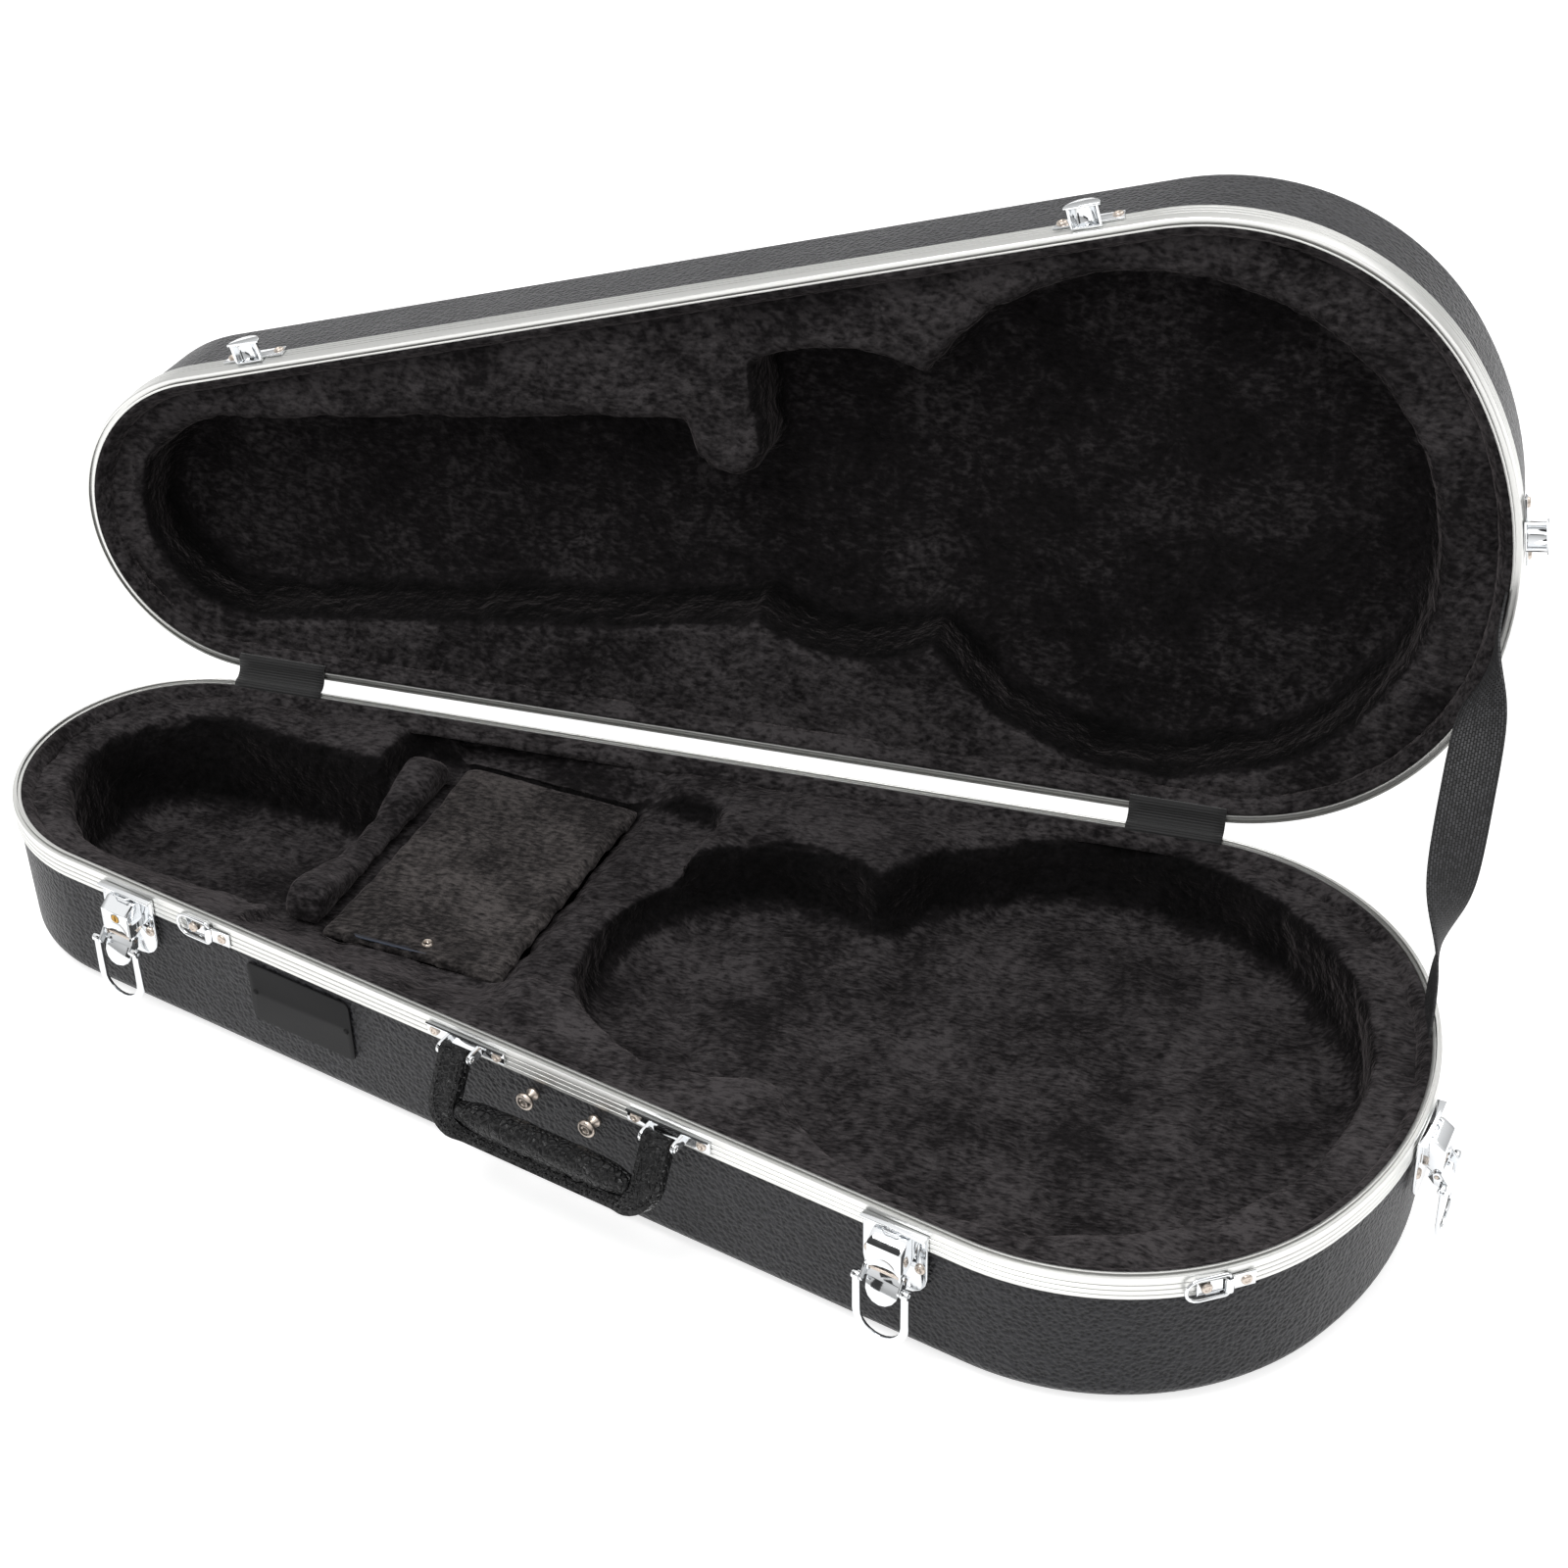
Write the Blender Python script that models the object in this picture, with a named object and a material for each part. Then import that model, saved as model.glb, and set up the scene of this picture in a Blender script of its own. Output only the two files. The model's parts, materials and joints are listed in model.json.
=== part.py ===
"""Hard case for a mandolin, lid open on its strap. Sizes are millimetres; finished meshes are metres.

Plan frame (u, v): u runs along the case's axis of symmetry from the small end, v across it.
World frame: X along the straight back edge, -Y to the front, Z up, origin in the flat bottom.
Hardware frame: x along the rim, y inwards, z up from the rim.
"""
import math

import bmesh
import bpy
from mathutils import Matrix, Vector

# Outline
SMALL_R = 90.1
CORNER_R = 140.9
CORNER_U = 538.3
CORNER_V = 26.3
END_R = 203.8
END_U = CORNER_U - math.sqrt((END_R - CORNER_R) ** 2 - CORNER_V ** 2)
TAPER = math.atan2(CORNER_V, CORNER_U) + math.asin((CORNER_R - SMALL_R) / math.hypot(CORNER_U, CORNER_V))
JOIN = math.atan2(CORNER_V, CORNER_U - END_U)
MIDDLE_X = (END_U * math.cos(TAPER) + END_R - SMALL_R) / 2
MIDDLE_Y = (CORNER_U * math.sin(TAPER) + CORNER_V * math.cos(TAPER) + SMALL_R + CORNER_R) / 2

# Shells and rim extrusion
BASE_DEPTH = 84.0
LID_DEPTH = 76.0
BASE_DRAFT = 0.03
LID_DRAFT = 0.06
EDGE_R = 12.0
WALL = 2.0
GAP = 0.3
FLANGE = 1.1
RIM_WIDTH = 2 * FLANGE + 2 * GAP + WALL
SHELL_IN = FLANGE + GAP
BASE_BAND = 13.2
LID_BAND = 16.2
LIP_DEPTH = 8.0
STRAIGHT = LIP_DEPTH + 1.0
BASE_WEB = 1.9
LID_WEB = 2.9
RIM_CHAMFER = 0.5
TONGUE_IN = 1.9
TONGUE_W = 1.0
TONGUE_H = 1.2
GROOVE_CLEAR = 0.5
GROOVE_H = 1.7
LID_GAP = 0.3

# Lid hinge
HINGE_OUT = 4.5
HINGE_UP = 1.0
OPEN_DEG = 93.0
KNUCKLE_R = 3.0
HINGE_PIN_R = 1.2
HINGE_BORE_R = 1.5
LEAF_T = 1.5
LEAF_LONG = 40.0
KNUCKLE_GAP = 0.4
HINGE_X = (18.5, 524.0)
TAPE_W = 51.0

# Padding
PAD_IN = RIM_WIDTH + 0.4
PAD_CLEAR = 0.4
BASE_LEDGE = -4.0
LID_LEDGE = 6.0
HEAD_R = 58.0
HEAD_FLOOR = -62.0
BOUT_U = 505.0
BOUT_V = 4.0
BOUT_R = 145.0
SHOULDER_U = 345.0
SHOULDER_V = -10.0
SHOULDER_R = 90.0
BODY_FLOOR = -49.0
LID_CEILING = 46.0
LID_BOUT_R = 138.0
LID_SHOULDER_R = 86.0
CHANNEL_R = 57.0
CRADLE_U = 97.0
CRADLE_LONG = 22.0
CRADLE_SEAT = -26.0
FLAP_U0 = 122.0
FLAP_U1 = 229.0
FLAP_V0 = -66.0
FLAP_V1 = 95.0
FLAP_TOP = -22.0
FLAP_T = 5.0
BOX_INSET = 8.0
BOX_FLOOR = -68.0

# Front line, which leaves the small end's arc where its tangent turns by twice the taper
FRONT_DIR = Vector((math.cos(2 * TAPER), -math.sin(2 * TAPER)))
FRONT_START = Vector((SMALL_R * FRONT_DIR.y, -SMALL_R - SMALL_R * FRONT_DIR.x))

SOFT = "plush"
FINISHES = {
    "abs": (0.035, 0.035, 0.038, 0.0, 0.55),
    "aluminium": (0.80, 0.80, 0.79, 1.0, 0.35),
    "chrome": (0.75, 0.76, 0.78, 1.0, 0.12),
    "steel": (0.62, 0.60, 0.58, 1.0, 0.3),
    "brass": (0.75, 0.50, 0.18, 1.0, 0.3),
    "plush": (0.02, 0.02, 0.022, 0.0, 0.95),
    "leatherette": (0.03, 0.03, 0.032, 0.0, 0.5),
    "webbing": (0.02, 0.02, 0.02, 0.0, 0.85),
    "plate": (0.06, 0.06, 0.06, 0.0, 0.5),
}


def clear_scene():
    for item in list(bpy.data.objects):
        bpy.data.objects.remove(item)


def finish(slot, name):
    red, green, blue, metal, rough = FINISHES[slot]
    material = bpy.data.materials.new(name + "_finish")
    material.use_nodes = True
    shader = material.node_tree.nodes["Principled BSDF"]
    shader.inputs["Base Color"].default_value = (red, green, blue, 1.0)
    shader.inputs["Metallic"].default_value = metal
    shader.inputs["Roughness"].default_value = rough
    return material


# Frames

def plan_point(u, v, z):
    """World point of a plan point, z from the base rim."""
    x = u * math.cos(TAPER) + v * math.sin(TAPER) - MIDDLE_X
    y = -u * math.sin(TAPER) + v * math.cos(TAPER) - SMALL_R + MIDDLE_Y
    return Vector((x, y, z + BASE_DEPTH))


def rim_frame(point, outward, height=0.0):
    """Hardware frame at a point of the outline: x along the rim, y inwards, z up."""
    along = Vector((-outward[1], outward[0], 0.0))
    inward = Vector((-outward[0], -outward[1], 0.0))
    frame = Matrix.Identity(4)
    frame.col[0] = (*along, 0.0)
    frame.col[1] = (*inward, 0.0)
    frame.col[3] = (point[0] - MIDDLE_X, point[1] + MIDDLE_Y, BASE_DEPTH + height, 1.0)
    return frame


def front_frame(distance):
    point = FRONT_START + FRONT_DIR * distance
    return rim_frame(point, (FRONT_DIR.y, -FRONT_DIR.x))


def arc_frame(centre_u, centre_v, radius, angle):
    """Hardware frame on one of the outline's arcs, angle taken in the plan frame."""
    spot = plan_point(centre_u + radius * math.cos(angle), centre_v + radius * math.sin(angle), 0.0)
    turned = angle - TAPER
    return rim_frame((spot.x + MIDDLE_X, spot.y - MIDDLE_Y), (math.cos(turned), math.sin(turned)))


def hinge_axis_point(x=0.0):
    return Vector((x, HINGE_OUT + MIDDLE_Y, BASE_DEPTH + HINGE_UP))


def open_turn():
    """Carries closed lid points to the open lid."""
    pivot = hinge_axis_point()
    turn = Matrix.Rotation(math.radians(-OPEN_DEG), 4, "X")
    return Matrix.Translation(pivot) @ turn @ Matrix.Translation(-pivot)


# Outlines

def arc(centre_u, centre_v, radius, start, end, steps):
    points = []
    for i in range(steps + 1):
        angle = start + (end - start) * i / steps
        points.append((centre_u + radius * math.cos(angle), centre_v + radius * math.sin(angle)))
    return points


def case_outline(inset, steps=(24, 12, 8)):
    """Egg outline as plan points, counterclockwise from the back of the small end."""
    quarter = math.pi / 2
    small, corner, end = steps
    points = arc(0, 0, SMALL_R - inset, quarter + TAPER, 3 * quarter - TAPER, small)
    points += arc(CORNER_U, -CORNER_V, CORNER_R - inset, -quarter - TAPER, -JOIN, corner)
    points += arc(END_U, 0, END_R - inset, -JOIN, JOIN, end)[1:-1]
    points += arc(CORNER_U, CORNER_V, CORNER_R - inset, JOIN, quarter + TAPER, corner)
    return points


def bean_outline(bout, shoulder, grow):
    """Union of the two circles of the instrument's body, as plan points."""
    centre_a = Vector((BOUT_U, BOUT_V))
    centre_b = Vector((SHOULDER_U, SHOULDER_V))
    radius_a = bout + grow
    radius_b = shoulder + grow
    across = centre_b - centre_a
    span = across.length
    foot = (span ** 2 + radius_a ** 2 - radius_b ** 2) / (2 * span)
    rise = math.sqrt(radius_a ** 2 - foot ** 2)
    middle = centre_a + across.normalized() * foot
    side = Vector((-across.y, across.x)).normalized() * rise
    front = middle + side
    back = middle - side
    start_a = math.atan2(front.y - centre_a.y, front.x - centre_a.x)
    end_a = math.atan2(back.y - centre_a.y, back.x - centre_a.x)
    start_b = math.atan2(back.y - centre_b.y, back.x - centre_b.x)
    end_b = math.atan2(front.y - centre_b.y, front.x - centre_b.x) + 2 * math.pi
    points = arc(*centre_a, radius_a, start_a, end_a, 26)[:-1]
    return points + arc(*centre_b, radius_b, start_b, end_b, 18)[:-1]


def stadium_outline(radius, right, grow, steps=14):
    """Half circle about the small end's centre with straight sides to the right."""
    reach = radius + grow
    points = arc(0, 0, reach, math.pi / 2, 3 * math.pi / 2, steps)
    return points + [(right, -reach), (right, reach)]


def box_outline(u0, u1, v0, v1, grow, radius=6.0, steps=3):
    """Rounded rectangle in the plan frame."""
    left, right, front, back = u0 - grow, u1 + grow, v0 - grow, v1 + grow
    turn = math.pi / 2
    points = []
    corners = ((right, back, -1, -1), (left, back, 1, -1), (left, front, 1, 1), (right, front, -1, 1))
    for i, (u, v, du, dv) in enumerate(corners):
        points += arc(u + du * radius, v + dv * radius, radius, i * turn, (i + 1) * turn, steps)
    return points


# Mesh makers

def loft(bm, rings, closed=False):
    """Skins a row of rings of world points; the ends are capped unless the row is closed."""
    rows = [[bm.verts.new(p) for p in ring] for ring in rings]
    pairs = list(zip(rows, rows[1:]))
    if closed:
        pairs.append((rows[-1], rows[0]))
    for low, high in pairs:
        count = len(low)
        for i in range(count):
            j = (i + 1) % count
            bm.faces.new((low[i], low[j], high[j], high[i]))
    if not closed:
        bm.faces.new(list(reversed(rows[0])))
        bm.faces.new(rows[-1])
    return rows


def plan_loft(bm, outline_at, levels):
    """Rings from (inset or growth, z) levels, bottom to top."""
    loft(bm, [[plan_point(u, v, z) for u, v in outline_at(size)] for size, z in levels])


def prism(bm, outline, low, high, axis="y"):
    """Straight prism of a 2D outline between two heights on an axis of the hardware frame."""
    def spot(a, b, h):
        if axis == "x":
            return Vector((h, a, b))
        if axis == "y":
            return Vector((a, h, b))
        return Vector((a, b, h))
    area = sum(a[0] * b[1] - b[0] * a[1] for a, b in zip(outline, outline[1:] + outline[:1]))
    ordered = outline if area > 0 else list(reversed(outline))
    if axis == "y":
        ordered = list(reversed(ordered))
    loft(bm, [[spot(a, b, low) for a, b in ordered], [spot(a, b, high) for a, b in ordered]])


def brick(bm, low, high):
    outline = [(low[0], low[1]), (high[0], low[1]), (high[0], high[1]), (low[0], high[1])]
    prism(bm, outline, low[2], high[2], "z")


def round_bar(bm, start, end, radius, sides=16):
    """Cylinder between two points."""
    start, end = Vector(start), Vector(end)
    axis = (end - start).normalized()
    helper = Vector((0, 0, 1)) if abs(axis.z) < 0.9 else Vector((1, 0, 0))
    first = axis.cross(helper).normalized()
    second = axis.cross(first)
    rings = []
    for centre in (start, end):
        ring = []
        for i in range(sides):
            angle = 2 * math.pi * i / sides
            ring.append(centre + first * math.cos(angle) * radius + second * math.sin(angle) * radius)
        rings.append(ring)
    loft(bm, rings)


def turned(bm, centre, profile, sides=12):
    """Solid of revolution about the outward direction; profile is (radius, proud) from the wall."""
    rings = []
    for radius, proud in profile:
        ring = []
        for i in range(sides):
            angle = 2 * math.pi * i / sides
            x = centre[0] + radius * math.cos(angle)
            z = centre[1] + radius * math.sin(angle)
            ring.append(Vector((x, -proud, z)))
        rings.append(ring)
    loft(bm, rings)


def swept(bm, path, section, side, closed=False):
    """Sweeps a (side, normal) section along a path; side is the constant cross direction."""
    side = Vector(side).normalized()
    rings = []
    count = len(path)
    for i, point in enumerate(path):
        before = path[(i - 1) % count] if closed or i > 0 else point
        after = path[(i + 1) % count] if closed or i < count - 1 else point
        along = (Vector(after) - Vector(before)).normalized()
        normal = along.cross(side).normalized()
        rings.append([Vector(point) + side * a + normal * b for a, b in section])
    loft(bm, rings, closed)


def circle_section(radius, sides=8):
    return [(radius * math.cos(2 * math.pi * i / sides), radius * math.sin(2 * math.pi * i / sides))
            for i in range(sides)]


def solid(maker):
    """Runs a maker on a fresh mesh and turns its faces out."""
    bm = bmesh.new()
    maker(bm)
    bmesh.ops.recalc_face_normals(bm, faces=bm.faces)
    return bm


def temporary(bm):
    mesh = bpy.data.meshes.new("shape")
    bm.to_mesh(mesh)
    bm.free()
    item = bpy.data.objects.new("shape", mesh)
    bpy.context.scene.collection.objects.link(item)
    return item


def combine(body, others, operation):
    """Boolean of the body with each other mesh in turn."""
    item = temporary(body)
    tools = [temporary(other) for other in others]
    for tool in tools:
        step = item.modifiers.new("step", "BOOLEAN")
        step.operation = operation
        step.solver = "EXACT"
        step.object = tool
    graph = bpy.context.evaluated_depsgraph_get()
    mesh = bpy.data.meshes.new_from_object(item.evaluated_get(graph))
    result = bmesh.new()
    result.from_mesh(mesh)
    for used in [item] + tools:
        bpy.data.objects.remove(used)
    return result


def fuse(*bodies):
    return combine(bodies[0], bodies[1:], "UNION")


def carve(body, *cutters):
    return combine(body, cutters, "DIFFERENCE")


def add_piece(name, bm, slot, frame=None, pivot=None, smooth_deg=35.0):
    """Makes the node: moves the mesh to the world, sets its origin on the pivot, in metres."""
    if frame is not None:
        bm.transform(frame)
    bmesh.ops.remove_doubles(bm, verts=bm.verts, dist=0.0005)
    bmesh.ops.dissolve_degenerate(bm, edges=bm.edges, dist=0.0005)
    bmesh.ops.triangulate(bm, faces=bm.faces)
    bmesh.ops.recalc_face_normals(bm, faces=bm.faces)
    origin = Vector((0, 0, 0)) if pivot is None else Vector(pivot)
    bm.transform(Matrix.Scale(0.001, 4) @ Matrix.Translation(-origin))
    mesh = bpy.data.meshes.new(name)
    bm.to_mesh(mesh)
    bm.free()
    mesh.materials.append(finish(slot, name))
    item = bpy.data.objects.new(name, mesh)
    item.location = origin * 0.001
    bpy.context.scene.collection.objects.link(item)
    mesh.shade_smooth()
    mesh.set_sharp_from_angle(angle=math.radians(smooth_deg))
    return item


# Shells, rims and padding

def skin_levels(depth, draft, top, offset, turns=4):
    """(inset, z) down a face parallel to the shell's outside, round the bottom edge."""
    start = depth - EDGE_R
    corner = SHELL_IN + draft * (start - STRAIGHT)
    reach = EDGE_R - offset
    levels = [(SHELL_IN + offset, -top)]
    if top < STRAIGHT:
        levels.append((SHELL_IN + offset, -STRAIGHT))
    for i in range(turns + 1):
        angle = math.pi / 2 * i / turns
        levels.append((corner + EDGE_R - reach * math.cos(angle), -start - reach * math.sin(angle)))
    return levels


def shell_levels(depth, draft, web):
    outside = skin_levels(depth, draft, web + GAP, 0.0)
    inside = skin_levels(depth, draft, web + GAP, WALL)
    return list(reversed(outside)) + inside


def lid_levels(levels):
    """The same levels measured upwards from the closed lid's rim."""
    return [(size, LID_GAP - z) for size, z in levels]


def base_band_profile():
    lip_out = RIM_WIDTH - FLANGE
    tongue_end = TONGUE_IN + TONGUE_W
    return [
        (0.0, -BASE_BAND), (FLANGE, -BASE_BAND), (FLANGE, -BASE_WEB), (lip_out, -BASE_WEB),
        (lip_out, -LIP_DEPTH), (RIM_WIDTH, -LIP_DEPTH), (RIM_WIDTH, -RIM_CHAMFER), (RIM_WIDTH - RIM_CHAMFER, 0.0),
        (tongue_end, 0.0), (tongue_end, TONGUE_H), (TONGUE_IN, TONGUE_H), (TONGUE_IN, 0.0),
        (RIM_CHAMFER, 0.0), (0.0, -RIM_CHAMFER),
    ]


def lid_band_profile():
    lip_out = RIM_WIDTH - FLANGE
    groove_start = TONGUE_IN - GROOVE_CLEAR
    groove_end = TONGUE_IN + TONGUE_W + GROOVE_CLEAR
    return [
        (0.0, -LID_BAND), (FLANGE, -LID_BAND), (FLANGE, -LID_WEB), (lip_out, -LID_WEB),
        (lip_out, -LIP_DEPTH), (RIM_WIDTH, -LIP_DEPTH), (RIM_WIDTH, -RIM_CHAMFER), (RIM_WIDTH - RIM_CHAMFER, 0.0),
        (groove_end, 0.0), (groove_end, -GROOVE_H), (groove_start, -GROOVE_H), (groove_start, 0.0),
        (RIM_CHAMFER, 0.0), (0.0, -RIM_CHAMFER),
    ]


def band(profile):
    def maker(bm):
        rings = [[plan_point(u, v, z) for u, v in case_outline(inset)] for inset, z in profile]
        loft(bm, rings, closed=True)
    return solid(maker)


def pad_block(depth, draft, ledge):
    """Outside of a padding block, bottom to ledge, z down from the rim."""
    levels = list(reversed(skin_levels(depth, draft, STRAIGHT, WALL + PAD_CLEAR, 2)))
    levels += [(PAD_IN, -LIP_DEPTH - 0.5), (PAD_IN + 0.4, -ledge - 1.2), (PAD_IN + 2.0, -ledge)]
    return levels


def well_levels(floor, ledge, bottom_r, flare):
    """(growth, z) of a well cutter: rounded floor, upright wall, rolled edge at the ledge."""
    return [
        (-bottom_r, floor), (-0.3 * bottom_r, floor + 0.3 * bottom_r), (0.0, floor + bottom_r),
        (0.0, ledge - 1.6 * flare), (0.3 * flare, ledge - 0.5 * flare), (flare, ledge + 0.15), (flare, ledge + 8.0),
    ]


def mirrored(levels):
    return [(size, -z) for size, z in levels]


def plan_solid(outline_at, levels):
    return solid(lambda bm: plan_loft(bm, outline_at, levels))


def make_shells(turn):
    base = plan_solid(case_outline, shell_levels(BASE_DEPTH, BASE_DRAFT, BASE_WEB))
    add_piece("base_shell", base, "abs")
    add_piece("base_valance", band(base_band_profile()), "aluminium")
    lid = plan_solid(case_outline, lid_levels(shell_levels(LID_DEPTH, LID_DRAFT, LID_WEB)))
    add_piece("lid_shell", lid, "abs", turn, hinge_axis_point())
    lid_band = band([(inset, LID_GAP - z) for inset, z in lid_band_profile()])
    add_piece("lid_valance", lid_band, "aluminium", turn, hinge_axis_point())


def make_base_padding():
    block = plan_solid(case_outline, pad_block(BASE_DEPTH, BASE_DRAFT, -BASE_LEDGE))
    flap_clear = 0.6
    head = plan_solid(lambda grow: stadium_outline(HEAD_R, CRADLE_U, grow),
                      well_levels(HEAD_FLOOR, BASE_LEDGE, 10.0, 7.0))
    seat = plan_solid(lambda grow: box_outline(CRADLE_U - 8, FLAP_U0 + 1, FLAP_V0, FLAP_V1, grow),
                      well_levels(CRADLE_SEAT, BASE_LEDGE, 2.0, 5.0))
    recess = plan_solid(
        lambda grow: box_outline(FLAP_U0, FLAP_U1, FLAP_V0, FLAP_V1, flap_clear + grow, 1.0, 2),
        [(0.0, FLAP_TOP - FLAP_T - GAP), (0.0, BASE_LEDGE + 8.0)])
    right = plan_solid(
        lambda grow: box_outline(FLAP_U1 - 4, SHOULDER_U - SHOULDER_R + 20, FLAP_V0, FLAP_V1, grow),
        well_levels(FLAP_TOP, BASE_LEDGE, 2.0, 7.0))
    box = plan_solid(
        lambda grow: box_outline(FLAP_U0, FLAP_U1, FLAP_V0, FLAP_V1, grow - BOX_INSET),
        [(-4.0, BOX_FLOOR), (0.0, BOX_FLOOR + 4.0), (0.0, FLAP_TOP + 1.0)])
    body = plan_solid(lambda grow: bean_outline(BOUT_R, SHOULDER_R, grow),
                      well_levels(BODY_FLOOR, BASE_LEDGE, 12.0, 5.0))
    add_piece("base_padding", carve(block, head, seat, recess, right, box, body), SOFT, smooth_deg=60)


def make_cradle():
    """Two padded rolls with the neck's notch between them, standing across the case."""
    def maker(bm):
        stations = ((-0.5, 2.6), (-0.42, 0.8), (-0.28, 0.0), (0.28, 0.0), (0.42, 0.8), (0.5, 2.6))
        middle = CRADLE_U + CRADLE_LONG / 2
        rings = []
        for share, shrink in stations:
            u = middle + share * CRADLE_LONG
            rings.append([plan_point(u, v, z) for v, z in cradle_section(shrink)])
        loft(bm, rings)
    add_piece("neck_cradle", solid(maker), SOFT, smooth_deg=60)


def cradle_section(shrink):
    """(v, z) outline of the cradle seen along the case, shrunk towards its faces."""
    foot = CRADLE_SEAT + GAP
    roll = 14.0 - shrink
    top = -22.0
    rear, front = 66.0, -43.0
    points = [(front - 17.0 + shrink, foot), (rear + 17.0 - shrink, foot)]
    points += [(rear + 3 + a, top + b) for a, b in arc(0, 0, roll, math.radians(10), math.radians(120), 6)]
    points += [(rear - 25, top + 5.0 - shrink), (rear - 36, top - 0.5), (front + 36, top - 0.5)]
    points += [(front + 25, top + 5.0 - shrink)]
    points += [(front - 3 + a, top + b) for a, b in arc(0, 0, roll, math.radians(60), math.radians(170), 6)]
    return points


def heel_lobe(grow):
    """Outline of the padded lobe beside the neck's heel."""
    points = arc(286, -46, 22 + grow, 0, math.pi, 10)
    return points + [(264 - grow, -120), (308 + grow, -120)]


def make_lid_padding(turn):
    levels = [(inset, LID_GAP - z) for inset, z in pad_block(LID_DEPTH, LID_DRAFT, LID_LEDGE)]
    block = plan_solid(case_outline, levels)
    lobe_levels = [(-6.0, 0.0), (-5.0, LID_LEDGE + 1.5), (-1.5, LID_LEDGE + 5), (0.0, LID_LEDGE + 12), (0.0, LID_DEPTH)]
    channel = plan_solid(
        lambda grow: stadium_outline(CHANNEL_R, SHOULDER_U - 60, grow),
        mirrored(well_levels(-LID_CEILING, -LID_LEDGE, 10.0, 7.0)))
    body = plan_solid(
        lambda grow: bean_outline(LID_BOUT_R, LID_SHOULDER_R, grow),
        mirrored(well_levels(-LID_CEILING - 2, -LID_LEDGE, 12.0, 7.0)))
    channel = carve(channel, plan_solid(heel_lobe, lobe_levels))
    body = carve(body, plan_solid(heel_lobe, lobe_levels))
    pad = carve(block, channel, body)
    add_piece("lid_padding", pad, SOFT, turn, hinge_axis_point(), smooth_deg=60)


# Hinges, tapes and strap

def knuckle_spans():
    """Three knuckles along the leaf: base, lid, base."""
    share = (LEAF_LONG - 2 * KNUCKLE_GAP) / 3
    starts = [-LEAF_LONG / 2 + i * (share + KNUCKLE_GAP) for i in range(3)]
    return [(start, start + share) for start in starts]


def hinge_leaf(x, spans, low, high, reach):
    """Leaf on the back of the rim with its knuckles; y and z are the world's, from the rim."""
    back = MIDDLE_Y + GAP
    axis = hinge_axis_point(x)
    rim = BASE_DEPTH
    plate = solid(lambda bm: brick(
        bm, (x - LEAF_LONG / 2, back, rim + low), (x + LEAF_LONG / 2, back + LEAF_T, rim + high)))
    shapes = [plate]
    for start, end in spans:
        side = sorted((rim + reach, axis.z))
        web = solid(lambda bm: brick(bm, (x + start, back, side[0]), (x + end, back + LEAF_T, side[1])))
        roll = solid(lambda bm: round_bar(bm, (x + start, axis.y, axis.z), (x + end, axis.y, axis.z), KNUCKLE_R))
        shapes += [web, roll]
    bore = solid(lambda bm: round_bar(
        bm, (x - LEAF_LONG, axis.y, axis.z), (x + LEAF_LONG, axis.y, axis.z), HINGE_BORE_R, 12))
    return carve(fuse(*shapes), bore)


def make_hinges(turn):
    spans = knuckle_spans()
    pivot = hinge_axis_point()
    for i, x in enumerate(HINGE_X, 1):
        x -= MIDDLE_X
        clear = KNUCKLE_R + KNUCKLE_GAP
        base = hinge_leaf(x, (spans[0], spans[2]), -BASE_BAND + 1.0, HINGE_UP - clear, HINGE_UP - clear - 1.0)
        lid = hinge_leaf(x, (spans[1],), HINGE_UP + clear, LID_BAND - 1.0, HINGE_UP + clear + 1.0)
        add_piece(f"hinge_base_leaf_{i}", base, "chrome")
        add_piece(f"hinge_lid_leaf_{i}", lid, "chrome", turn, pivot)
        axis = hinge_axis_point(x)
        half = LEAF_LONG / 2
        pin = solid(lambda bm: round_bar(bm, (x - half, axis.y, axis.z), (x + half, axis.y, axis.z), HINGE_PIN_R, 12))
        add_piece(f"hinge_pin_{i}", pin, "steel")


def tape_path():
    """(y, z) from the base lining over both rims to the lid lining, from the hinge side's rim."""
    return ((-6.7, -3.4), (-6.1, -1.2), (-5.4, 0.9), (-3.6, 2.1), (-1.0, 2.5), (1.6, 4.4), (2.9, 7.4),
            (3.2, 10.4), (3.8, 12.6), (6.2, 13.6))


def make_tapes():
    half = TAPE_W / 2
    section = [(-half, -0.35), (half, -0.35), (half, 0.35), (-half, 0.35)]
    for i, x in enumerate(HINGE_X, 1):
        path = [(x - MIDDLE_X, y + MIDDLE_Y, z + BASE_DEPTH) for y, z in tape_path()]
        tape = solid(lambda bm: swept(bm, path, section, (1, 0, 0)))
        add_piece(f"hinge_tape_{i}", tape, "webbing", pivot=hinge_axis_point(x - MIDDLE_X))


STRAP_W = 26.0
STRAP_T = 1.2
STRAP_IN = 6.4
STRAP_EASE = 170.0
STRAP_TWIST = 1.2
STRAP_FOOT = math.radians(11.7)
STRAP_TOP = math.radians(3.7)


def rim_spot(angle, inset, z):
    """Point inside the big end's rim; the angle is the world's."""
    turned = angle + TAPER
    reach = END_R - inset
    return plan_point(END_U + reach * math.cos(turned), reach * math.sin(turned), z)


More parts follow.
